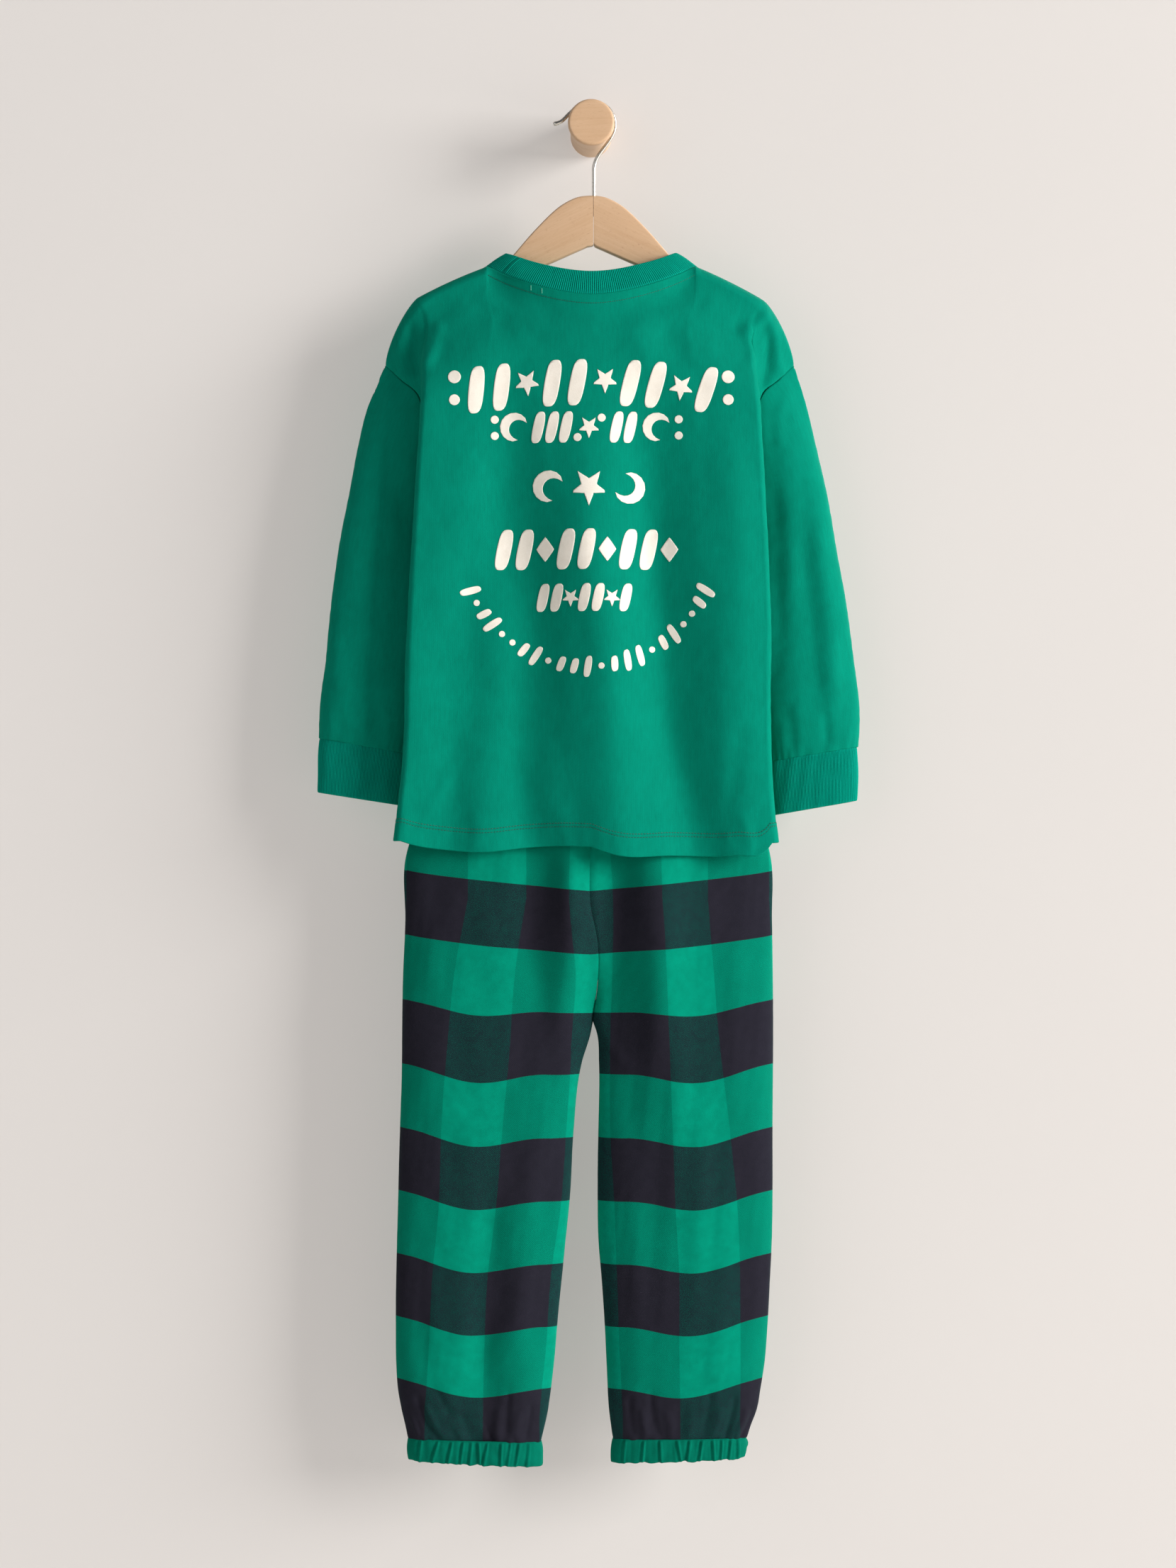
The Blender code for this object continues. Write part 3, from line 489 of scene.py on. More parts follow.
# one arm: a rounded rectangle between the upper and the lower edge, carried outwards from the joint
def hangerArm(sign, grainAngle):
    station = np.concatenate([np.linspace(0, 143, 90), 143 + 8 * np.sin(np.linspace(0.1, np.pi / 2, 14))])
    drop = hanger["drop"] * np.clip(station - 71, 0, None) / 81 * (sign > 0)
    top = curve(hanger["top"])(station) - drop
    under = np.interp(station, *np.array(hanger["under"]).T) - drop
    turn = np.linspace(0, 2 * np.pi, hanger["sides"], endpoint=False) + np.pi / hanger["sides"]
    half, middle = (top - under) / 2, (top + under) / 2
    edge = np.minimum(hanger["edge"], half * 0.9)
    cornerX, cornerZ = np.cos(turn), np.sin(turn)
    y = np.sign(cornerX) * (hanger["thickness"] / 2 - edge[:, None]) + edge[:, None] * cornerX
    z = middle[:, None] + np.sign(cornerZ) * (half - edge)[:, None] + edge[:, None] * cornerZ
    start = hanger["joint"] + sign * gap / 2
    x = np.where(station < hanger["jointWidth"], start + sign * station * 0.4, sign * station)
    grid = np.stack([x[:, None] + 0 * turn, hanger["plane"] + y, z], -1)
    faces = barFaces(len(grid), hanger["sides"])
    if sign < 0:
        faces = [face[::-1] for face in faces]
    name = "hangerArmRight" if sign > 0 else "hangerArmLeft"
    wood = beechMaterial("beech" + name[6:], beechFinish, grainAngle)
    piece = addPiece(name, grid, faces, None, wood, sharp=0.7)
    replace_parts(piece, "hanger_right_arm" if sign > 0 else "hanger_left_arm")


hangerArm(-1, 0.44)
hangerArm(1, -0.44)
print("peg, hook and hanger made")

# the top
top = {
    "riseBack": 1.8, "riseFront": 1.85,
    "neckHalf": 92.0, "neckBack": (-153.3, 30.0, 1.2), "neckFront": (-195.0, 26.0, 1.0), "neckSide": -126.0,
    "plane": -62.0, "depth": 38.0, "sideSeam": -55.0, "cloth": 1.6,
    "neckEnd": 0.48, "foldAt": 0.76, "underarm": 0.29,      # columns and row where the outline changes
    "slope": 0.36, "slopeCurve": 0.0015, "ridge": 9.0, "ridgeShare": 0.32, "spread": 95.0,
    "neckSpread": 40.0, "crown": 0.04,
    "shoulderRound": 1.4, "foldRadius": 5.0, "foldHeight": 70.0, "foldShare": 0.38,
    "armholeBack": [(0, 180.4, 0, -212), (0.18, 165, 8, -226), (0.36, 150.5, 13, -239), (0.58, 144, 12, -266),
                    (0.8, 141, 4, -300), (1, 140, -7, -325)],
    "armholeFront": [(0, 180.4, 0, -212), (0.18, 167, 7, -226), (0.36, 154, 11, -240), (0.58, 147, 11, -268),
                     (0.8, 142, 9, -300), (1, 140, 7, -325)],
    "tape": 7.7,                        # neck tape's stitching below the collar seam
    "hemStitches": (16.5, 19.5),        # the two rows above the edge
}
left = {
    "name": "left", "sign": -1, "drop": 0.0, "armhole": 1.0,
    "fold": [(-632, 171.5), (-598, 168), (-552, 163.7), (-452, 160.6), (-353, 155), (-291, 151.3),
             (-232, 147.6), (-198, 146.9), (-178, 143.5), (-164, 147), (-153, 152)],
    "side": [(-632, 170), (-590, 161), (-540, 149), (-480, 138), (-420, 135), (-360, 137), (-325, 140)],
    "hem": [(0, -634), (26, -633.4), (58, -635.3), (97, -639), (130, -637), (159, -632.8), (172, -629)],
    "sleeveOut": [(-552, 239), (-520, 239.3), (-471, 233.7), (-421, 228.8), (-372, 222), (-322, 212),
                  (-285, 205.2), (-248, 195.9), (-212, 180.4)],
    "sleeveIn": [(-553, 163), (-520, 154), (-480, 147), (-420, 144), (-360, 146), (-325, 147)],
    "cuffSeam": ((239, -539.5), (163, -553)), "cuffEnd": ((241, -587), (167.5, -598.5)),
    "legOut": [(-1155, 160.4), (-1147, 161.8), (-1128, 166.2), (-1110, 169.3), (-1091, 170.5), (-1054, 171.1),
               (-980, 169.9), (-905, 168), (-849, 166.2), (-738, 164.3), (-700, 162.6), (-644, 162.2),
               (-620, 155), (-600, 147), (-580, 138)],
    "legIn": [(-1155, 44.3), (-1128, 38.4), (-1091, 33.5), (-1054, 30.4), (-1017, 26.7), (-979, 22.9),
              (-942, 19.2), (-886, 16.1), (-824, 8.7), (-800, 1.6), (-787, -1.2)],
    "bandSeam": ((160.2, -1154.2), (44.5, -1157.3)), "bandEnd": ((160, -1173), (44, -1178.5)),
}
right = {
    "name": "right", "sign": 1, "drop": 3.2, "armhole": 0.985,
    "fold": [(-632, 162.3), (-606, 159.3), (-560, 156.2), (-502, 155.6), (-421, 155.6), (-328, 151.3),
             (-266, 148.2), (-229, 145.1), (-204, 141.4), (-184, 138), (-168, 143), (-156, 151)],
    "side": [(-632, 161.6), (-590, 156), (-540, 147), (-480, 136), (-420, 133), (-360, 135), (-325, 138)],
    "hem": [(0, -634), (20, -640.8), (70, -642), (128, -641.5), (158, -636), (163, -630)],
    "sleeveOut": [(-560, 233.6), (-520, 236.2), (-471, 231.3), (-421, 224.4), (-372, 215.8), (-322, 207.1),
                  (-285, 198.4), (-248, 189.1), (-213, 177.7)],
    "sleeveIn": [(-560, 157.5), (-520, 151.5), (-480, 145), (-420, 142), (-360, 144), (-325, 145)],
    "cuffSeam": ((234, -547.2), (157.5, -560.3)), "cuffEnd": ((234.3, -594.3), (161, -607)),
    "legOut": [(-1155, 136), (-1147, 138.3), (-1128, 145.1), (-1110, 148.2), (-1091, 151.3), (-1054, 154.4),
               (-1017, 156.2), (-979, 158.1), (-886, 158.7), (-793, 159.3), (-700, 158.2), (-644, 157),
               (-620, 151), (-600, 143.5), (-580, 135)],
    "legIn": [(-1155, 19.6), (-1128, 16.1), (-1091, 14.3), (-1054, 12.4), (-1017, 9.9), (-979, 6.8),
              (-942, 6.2), (-886, 6.8), (-824, 7.4), (-800, 6), (-787, 1.6)],
    "bandSeam": ((135.4, -1153.6), (19.8, -1154.8)), "bandEnd": ((134.5, -1171), (18.2, -1175)),
}
topFolds = {
    # line across against height, how far the fold stands out against height, half width
    "back": [
        ([(-640, 26), (-576, 19), (-490, 14), (-452, 11), (-378, 3), (-240, 2)],
         [(-640, 10), (-480, 10.5), (-330, 8), (-250, 3.5), (-190, 0)], 32),
        ([(-640, -48), (-576, -63), (-545, -60), (-452, -55), (-378, -60), (-291, -72), (-240, -74)],
         [(-640, -8.5), (-480, -9.2), (-330, -7), (-240, -3), (-190, 0)], 27),
        ([(-640, -126), (-576, -124), (-545, -116), (-452, -108), (-378, -90), (-291, -80)],
         [(-640, -7.5), (-500, -8.5), (-400, -6.5), (-300, -2.5), (-240, 0)], 29),
        ([(-640, 96), (-576, 78), (-545, 70), (-452, 60), (-378, 53), (-291, 51), (-240, 50)],
         [(-640, -8), (-480, -9.5), (-330, -7.5), (-250, -3), (-200, 0)], 26),
        ([(-640, 136), (-545, 130), (-452, 128), (-378, 125), (-291, 123), (-240, 122)],
         [(-640, 4.5), (-490, 7.5), (-380, 7), (-300, 5), (-240, 1), (-200, 0)], 30)],
    "front": [
        ([(-640, -30), (-400, -14), (-240, -6)], [(-640, 3), (-420, 2.6), (-260, 0)], 30),
        ([(-640, 58), (-400, 44), (-260, 40)], [(-640, -3), (-420, -2.4), (-280, 0)], 24),
        ([(-640, -98), (-400, -82), (-260, -74)], [(-640, -2.6), (-420, -2.2), (-280, 0)], 24)],
    # start, end, bend, width, height of the shorter creases
    "backCreases": [
        (126, -190, 158, -162, 4, 5, 2.4), (148, -240, 157, -180, 2, 5, -3.0),
        (158, -168, 168, -226, 2, 5, 2.2),
        (136, -176, 141, -216, -1, 4, 1.6), (-132, -172, -148, -222, -3, 5, 1.8),
        (-158, -172, -151, -226, 2, 5, -2.4),
        (-98, -160, -136, -190, 2, 9, 0.9), (-170, -186, -160, -232, 1, 5, 1.3),
        (96, -158, 128, -176, -2, 8, 0.9),
        (30, -176, 84, -240, 5, 14, 1.1), (-40, -180, -96, -250, -5, 14, -1.2),
        (60, -170, 110, -250, 6, 13, -1.3),
        (-148, -610, -120, -560, 3, 7, 1.0), (118, -628, 136, -520, -3, 8, -1.0),
        (-20, -640, -28, -596, 1, 7, 0.9),
        (140, -640, 132, -606, 1, 5, 1.0), (-100, -640, -96, -600, -1, 6, 0.8)],
    "frontCreases": [
        (-130, -184, -158, -158, 3, 5, 1.4), (130, -176, 150, -214, -2, 5, 1.3),
        (-40, -210, -120, -300, 6, 9, 1.2),
        (40, -212, 112, -290, -5, 9, 1.1), (100, -620, 128, -540, 3, 8, 1.1),
        (-136, -630, -110, -560, -3, 8, -1.0)],
}


def neckTurn(column):
    return np.pi / 2 * np.clip(column / top["neckEnd"], 0, 1)


# climb of the neck seam from the centre to the side: |sin|^a at the back, 1 - cos^b at the front
def neckRise(turn, back):
    return np.abs(np.sin(turn)) ** top["riseBack"] if back else 1 - np.cos(turn) ** top["riseFront"]


# neck seam as an arc in plan, x = half sin t, y = depth cos t, then the shoulder line to the hanger's tip
def topEdge(column, side, back):
    height, depth, bow = top["neckBack"] if back else top["neckFront"]
    turn = neckTurn(column)
    tip = curve(side["fold"])(0)
    reach = np.clip((column - top["neckEnd"]) / (top["foldAt"] - top["neckEnd"]), 0, 1)
    run = (tip - top["neckHalf"]) * reach
    z = mix(height, top["neckSide"], neckRise(turn, back))
    z = z - top["slope"] * run - top["slopeCurve"] * run ** 2 - side["drop"] * reach
    return top["neckHalf"] * np.sin(turn) + run, z, depth * np.cos(turn) ** bow


# half of a panel: rows from the shoulder (0) to the hem (1), columns from the centre (0) to the seam (1);
# flat across with a slight crown, a quarter round at the side fold, then a sweep in to armhole or side seam
def halfPanel(column, row, side, back):
    xTop, zTop, depthTop = topEdge(column, side, back)
    foldLine = curve(side["fold"]) if back else curve([(-153, 152), (-178, 147), (-240, 144)]
                                                      + [(z, x + 0.6) for z, x in side["side"]])
    flat = np.minimum(column, top["foldAt"]) / top["foldAt"]
    z = mix(zTop, curve(side["hem"])(flat * foldLine(mix(-155, -632, row))), row)
    below = zTop - z
    ridge = np.sqrt(1 - (1 - np.clip(below / top["ridge"], 0, 1)) ** 2)
    neck = np.sin(neckTurn(column))
    shoulder = np.where(neck < 1, top["neckSide"] + top["slope"] * top["neckHalf"] * (1 - neck), zTop)
    full = mix(top["ridgeShare"], 1, ease((shoulder - z) / top["spread"]))
    spread = mix(ease(below / top["neckSpread"]), ridge, neck ** 4)
    across = mix(xTop / curve(side["fold"])(0), flat, ease(row / top["underarm"]))
    depth = depthTop + (top["depth"] * (1 - top["crown"] * across ** 2) * full - depthTop) * spread
    foldX = foldLine(z)
    turnIn = ease(below / top["foldHeight"])
    radius = top["foldRadius"] * turnIn * flat
    x = across * (foldX - radius)
    depth = depth + longFolds(side["sign"] * x, z, topFolds["back" if back else "front"])

    w = np.clip((column - top["foldAt"]) / (1 - top["foldAt"]), 0, 1)
    bend = top["foldShare"] * turnIn
    angle = np.pi / 2 * np.clip(w / np.maximum(bend, 1e-6), 0, 1) * (w > 0)
    inward = np.clip((w - bend) / (1 - bend), 0, 1)
    place, holeX, holeDepth, holeZ = np.array(top["armholeBack" if back else "armholeFront"], float).T
    share = np.clip(row / top["underarm"], 0, 1)
    hole = (holeX * side["armhole"], holeDepth, holeZ)
    holeX, holeDepth, holeZ = (curve(zip(place, v))(share) for v in hole)
    seamZ = mix(holeZ, -630.0, np.clip((row - top["underarm"]) / (1 - top["underarm"]), 0, 1))
    seamX = np.where(row > top["underarm"], curve(side["side"])(seamZ), holeX)
    out = mix(1 - (1 - inward) ** top["shoulderRound"], ease(inward), ease(row / top["underarm"]))
    wrapX = foldX - radius * (1 - np.sin(angle)) + (seamX - foldX) * out
    wrapDepth = mix(depth - radius * (1 - np.cos(angle)), holeDepth, inward)
    x = np.where(w > 0, wrapX, x)
    z = np.where(w > 0, mix(z, seamZ, w ** 1.2), z)
    depth = np.where(w > 0, wrapDepth, depth)
    return np.stack([side["sign"] * x, top["plane"] - depth if back else top["plane"] + depth, z], axis=-1)


fromTop = [0, 0.6, 1.4, 2.4, 3.4, 4.5, 5.6, 6.7, 7.2, 7.7, 8.2, 9, 10.2, 12, 14, 16.5]
toHem = [24, 22, 20.6, 20.1, 19.5, 18.9, 18.2, 17.7, 17.1, 16.5, 15.9, 15.2, 14, 12, 10, 8, 6, 4.2, 2.6, 1.2,
         0.4, 0]


def topPanel(back):
    fine = 1.0 if back else 0.72
    counts = [int(n * fine) for n in (27, 21, 26)]
    ends = [0, top["neckEnd"], top["foldAt"], 1]
    spans = enumerate(zip(ends, ends[1:], counts))
    column = np.concatenate([np.linspace(a, b, n)[i > 0:] for i, (a, b, n) in spans])
    middleRows = int(122 * fine)
    halves = []
    for side in (left, right):
        _, zTop, _ = topEdge(column, side, back)
        zHem = curve(side["hem"])(np.minimum(column, top["foldAt"]) / top["foldAt"] * side["fold"][0][1])
        length = zTop - zHem
        upper = np.array(fromTop)[:, None] / length
        lower = 1 - np.array(toHem)[:, None] / length
        between = mix(upper[-1], lower[0], np.linspace(0, 1, middleRows + 2)[1:-1, None])
        row = np.concatenate([upper, between, lower])
        halves.append((halfPanel(column + 0 * row, row, side, back), row, length + 0 * row))
    grid, row, length = (np.concatenate([l[:, :0:-1], r], axis=1) for l, r in zip(*halves))
    middle = len(column) - 1
    side = np.abs(np.arange(grid.shape[1]) - middle)
    x, z = grid[..., 0], grid[..., 2]
    down, up = row * length, (1 - row) * length
    wrap = ease((column[side] - top["foldAt"]) / (1 - top["foldAt"]) / 0.9)
    relief = creases(x, z, topFolds["backCreases" if back else "frontCreases"]) * ease(down / 8)
    waves = 0.28 * unevenness(x, z * 0.45, 30, 3 + back) + 0.1 * unevenness(x, z, 13, 5 + back)
    relief = relief + waves * ease(down / 20)
    neck = side <= counts[0] - 1
    if back:
        relief = relief + neck * (0.5 * ease((top["tape"] + 0.9 - down) / 1.2)
                                  - 0.35 * np.exp(-((down - top["tape"]) / 0.55) ** 2))
    relief = relief + 0.45 * ease((top["hemStitches"][1] + 1.2 - up) / 1.4)
    for stitch in top["hemStitches"]:
        relief = relief - 0.35 * np.exp(-((up - stitch) / 0.6) ** 2)
    relief = relief + 0.22 * unevenness(x, z * 0.2, 9, 9) * np.exp(-((up - 12) / 9) ** 2)
    hole = (row < top["underarm"]) * np.clip(1 - (1 - column[side]) * 90 / 5, 0, 1)
    relief = relief + 0.7 * ease(hole) * (down > 12)
    outward = -1 if back else 1
    normals = gridNormals(grid) * (1 if back else -1)
    grid = grid + normals * relief[..., None]
    uvAcross, uvDown = walked(grid, 1), walked(grid, 0)
    uv = np.stack([uvAcross - uvAcross[:, middle:middle + 1], -uvDown], -1)

    def trim(layer):
        edge = top["plane"] + outward * gap / 2
        shoulders = side >= counts[0] - 1
        seam = top["sideSeam"] + outward * gap / 2
        keep = np.minimum if back else np.maximum
        shoulders = shoulders if back else shoulders[::-1]
        layer[0, shoulders, 1] = keep(layer[0, shoulders, 1], edge)
        for place in (0, -1):
            under = row[:, place] >= top["underarm"]
            layer[under, place, 1] = keep(layer[under, place, 1], seam)
    name = "topBack" if back else "topFront"
    piece = clothPiece(name, "top_back" if back else "top_front", jersey, "jersey", grid,
                       top["cloth"], uv, flip=not back, trim=trim)
    return piece, grid, normals, counts[0] - 1, middle


backPiece, backGrid, backNormals, neckColumns, backMiddle = topPanel(True)
frontPiece, frontGrid, frontNormals = topPanel(False)[:3]
print("back and front made")

collar = {
    "topHalf": 74.5, "side": -113.9, "height": 20.4, "cloth": 2.2, "lean": 4,
    "ribs": 250, "perRib": 6, "ribDepth": 0.55, "seamTurn": -1.02,
}


# one rib to each whole number: |sin|^0.7, so that the ribs are broad and the grooves narrow
def ribRelief(phase):
    return np.abs(np.sin(np.pi * phase)) ** 0.7 - 0.55


# points of a line spread evenly over its length, read at the given shares
def along(line, share):
    walk = walked(line, 0)
    walk = walk / walk[-1]
    return np.stack([np.interp(share, walk, line[:, axis]) for axis in range(line.shape[1])], -1)


# rib ring: straight up from the neck seam to the top ring, x = half sin t, with a slight outward belly;
# the ribs are |sin|^0.7 across it
def collarPiece():
    def neckLine(back):
        turn = np.linspace(-np.pi / 2, np.pi / 2, 181)
        column = np.abs(turn) / (np.pi / 2) * top["neckEnd"]
        halves = [halfPanel(column, 0 * column, side, back) for side in (left, right)]
        base = np.where((turn < 0)[:, None], halves[0], halves[1])
        height, depth, bow = top["neckBack"] if back else top["neckFront"]
        depth = (depth - collar["lean"]) * (-1 if back else 1)
        rim = np.stack([collar["topHalf"] * np.sin(turn), top["plane"] + depth * np.cos(turn) ** bow,
                        mix(height + collar["height"], collar["side"], neckRise(turn, back))], -1)
        return np.concatenate([base, rim, turn[:, None]], 1)
    back, front = neckLine(True), neckLine(False)
    front[:, 6] = np.pi - front[:, 6]
    line = np.concatenate([back, front[::-1][1:]])
    count = collar["ribs"] * collar["perRib"]
    line = along(line, np.linspace(0, 1, count, endpoint=False))
    base, rim, turn = line[:, :3], line[:, 3:6], line[:, 6]
    share = np.array([0, 0.06, 0.16, 0.3, 0.46, 0.62, 0.76, 0.88, 0.96, 1])[:, None, None]
    step = (rim - base) / np.linalg.norm(rim - base, axis=1, keepdims=True)
    base = base + step * 0.6
    belly = np.sin(np.pi * share[..., 0]) * 0.8
    grid = mix(base, rim, share) + belly[..., None] * np.array([0, 0, 1])
    normals = gridNormals(grid, True)
    outwards = np.sign(np.sum(normals * (grid - [0, top["plane"], -150]) * [1, 1, 0], axis=2).mean())
    phase = np.arange(count) / collar["perRib"]
    ribs = ribRelief(phase)
    fade = ease(share[..., 0] / 0.08) * ease((1.04 - share[..., 0]) / 0.1)
    past = turn - collar["seamTurn"]
    seam = np.exp(-(past / 0.02) ** 2) - np.exp(-((past - 0.05) / 0.02) ** 2) * 0.6
    raised = collar["ribDepth"] * ribs * fade - 0.5 * seam * fade
    relief = 0.4 * ease(1 - share[..., 0] / 0.1) + 0.3 * unevenness(turn * 60, share[..., 0] * 20, 26, 8)
    grid = grid + normals * (outwards * relief)[..., None]
    around = np.arange(count + 1) / collar["perRib"] * jerseyFinish["rib"]
    uv = np.stack([around + 0 * share[..., 0], share[..., 0] * collar["height"] + 0 * around], -1)
    return clothPiece("ribCollar", "collar", rib, "rib", grid, collar["cloth"] - 0.5, uv,
                      ring=True, flip=outwards < 0, raised=raised)


collarRib = collarPiece()
print("collar made")

sleeve = {
    "plane": -50.0, "cloth": 1.6, "grow": 0.3, "swell": 4.0, "columns": 112, "rows": 170,
    "depth": [(-600, 12.5), (-550, 14), (-520, 17), (-420, 18), (-300, 19), (-212, 19)],
    "left": [(-176, -216, -164, -236, 1, 3, -0.9), (-188, -300, -206, -470, 4, 12, 1.2),
             (-164, -300, -176, -500, -3, 9, -1.2), (-226, -430, -214, -535, 3, 8, 0.9),
             (-196, -440, -186, -545, 2, 7, -1.0),
             (-205, -555, -200, -500, 1, 5, 0.8), (-182, -556, -178, -512, 1, 4, 0.7),
             (-222, -548, -220, -510, 1, 4, -0.7)],
    "right": [(186, -350, 206, -520, 3, 11, -1.9), (200, -330, 219, -530, 3, 10, 1.9),
              (168, -260, 178, -420, -3, 9, 1.4),
              (170, -232, 165, -290, 2, 5, 0.9), (160, -300, 164, -500, -2, 8, -1.2),
              (226, -440, 222, -540, 2, 7, -1.0),
              (184, -562, 180, -506, 1, 5, 0.9), (206, -560, 205, -512, 1, 4, -0.9),
              (170, -566, 168, -520, 1, 4, 0.7)],
    "hidden": [(180, -300, 200, -480, 4, 10, 1.4), (206, -380, 224, -530, -3, 9, -1.4),
               (160, -330, 168, -500, 2, 8, -1.0),
               (190, -556, 188, -500, 1, 5, 0.8)],
}


# a tube whose rows go from the armhole, walked back then front, over an oval to the cuff seam
def sleevePiece(side):
    turn = np.linspace(0, 2 * np.pi, sleeve["columns"], endpoint=False)
    backShare = np.clip(turn / np.pi, 0, 1) ** 1.45
    frontShare = np.clip((2 * np.pi - turn) / np.pi, 0, 1) ** 1.45
    edge = 1 + 0 * turn
    ringBack = halfPanel(edge, backShare * top["underarm"], side, True)
    ringFront = halfPanel(edge, frontShare * top["underarm"], side, False)
    start = np.where((turn <= np.pi)[:, None], ringBack, ringFront)
    hidden = ease((1 - np.cos(turn)) / 0.5)
    sign = side["sign"]
    start = start + mix(np.array([sign * 0.35, 0, -0.94]) * 0.6, np.array([sign, 0, 0]) * 2.2,
                        hidden[:, None])
    (seamFar, seamFarZ), (seamNear, seamNearZ) = side["cuffSeam"]
    share = np.concatenate([[0, 0.003, 0.007, 0.012, 0.02], np.linspace(0.028, 0.975, sleeve["rows"] - 10),
                            [0.982, 0.988, 0.993, 0.997, 1]])[:, None] + 0 * turn
    low = mix(seamFarZ, seamNearZ, ovalPlace(turn)) + gap / 2

    def shape(z):
        x, out = oval(turn, curve(side["sleeveIn"])(z), curve(side["sleeveOut"])(z),
                      curve(sleeve["depth"])(z))
        return np.stack([sign * x, sleeve["plane"] + out, z], -1)
    fade = 1 - ease(share / sleeve["grow"])[..., None]
    swell = sleeve["swell"] * (hidden * ease(share / 0.06))[..., None] * np.array([sign, 0, 0])
    grid = shape(mix(start[:, 2], low, share)) + (start - shape(start[:, 2]) + swell) * fade
    x, z = grid[..., 0], grid[..., 2]
    seen = np.clip(np.sin(turn) * 2.5, 0, 1)
    unseen = np.clip(-np.sin(turn) * 2.5, 0, 1)
    relief = creases(x, z, sleeve[side["name"]]) * seen + creases(sign * x, z, sleeve["hidden"]) * unseen
    waves = 0.3 * unevenness(x, z * 0.4, 26, 11 + sign) + 0.1 * unevenness(x + turn * 9, z, 12, 15)
    relief = relief + waves
    relief = relief * ease(share / 0.06) * ease((1 - share) / 0.04)
    gather = np.sin(turn * 23 + 3 * np.sin(turn * 3)) * np.exp(-(1 - share) / 0.03)
    relief = relief + 0.35 * gather - 0.3 * np.exp(-share / 0.006)
    normals = gridNormals(grid, True) * -sign
    grid = grid + normals * relief[..., None]
    around = walked(np.concatenate([grid[80], grid[80, :1]]), 0)
    uv = np.stack([around + 0 * share[:, :1], -walked(grid, 0).mean(axis=1, keepdims=True) + 0 * around], -1)
    return clothPiece("sleeve" + side["name"].title(), "sleeve_" + side["name"], jersey, "jersey", grid,
                      sleeve["cloth"], uv, ring=True, flip=sign > 0)


cuff = {
    "ribs": 140, "perRib": 5, "ribDepth": 0.55, "cloth": 2.2, "depth": (14, 12.5), "length": 47,
    "rows": [0, 0.02, 0.05, 0.1, 0.2, 0.32, 0.44, 0.56, 0.68, 0.8, 0.9, 0.96, 0.99, 1],
}


# a short oval tube between two slanted ends, seam and free edge, with columns spread evenly over its length
def slantedTube(seam, end, depth, count, rows):
    (far, farZ), (near, nearZ) = seam
    (endFar, endFarZ), (endNear, endNearZ) = end
    even = np.linspace(0, 2 * np.pi, 721)
    walk = walked(np.stack(oval(even, near, far, depth[0]), 1), 0)
    turn = np.interp(np.linspace(0, walk[-1], count, endpoint=False), walk, even)
    share = np.array(rows)[:, None] + 0 * turn
    across = ovalPlace(turn)
    x, out = oval(turn, mix(near, endNear, share), mix(far, endFar, share), mix(*depth, share))
    z = mix(mix(farZ, nearZ, across) - gap / 2, mix(endFarZ, endNearZ, across), share)
    return turn, share, x, out, z, walk[-1]


# a short oval tube between the cuff seam and its end, with ribs as on the collar
def cuffPiece(side):
    sign = side["sign"]
    count = cuff["ribs"] * cuff["perRib"]
    turn, share, x, out, z, _ = slantedTube(side["cuffSeam"], side["cuffEnd"], cuff["depth"], count,
                                            cuff["rows"])
    grid = np.stack([sign * x, sleeve["plane"] + out, z], -1)
    normals = gridNormals(grid, True) * -sign
    ribs = ribRelief(np.arange(count) / cuff["perRib"])
    fade = ease(share / 0.04) * ease((1.02 - share) / 0.05)
    relief = 0.9 * np.sin(np.pi * share) ** 0.7 - 0.4 + 0.35 * unevenness(sign * x, z * 0.3, 16, 21 + sign)
    grid = grid + normals * relief[..., None]
    around = np.arange(count + 1) / cuff["perRib"] * jerseyFinish["rib"]
    uv = np.stack([around + 0 * share[:, :1], -share[:, :1] * cuff["length"] + 0 * around], -1)
    return clothPiece("cuff" + side["name"].title(), "cuff_" + side["name"], rib, "rib", grid,
                      cuff["cloth"] - 0.5, uv, ring=True, flip=sign > 0,
                      raised=cuff["ribDepth"] * ribs * fade)


sleeves = [sleevePiece(side) for side in (left, right)]
cuffs = [cuffPiece(side) for side in (left, right)]
print("sleeves and cuffs made")

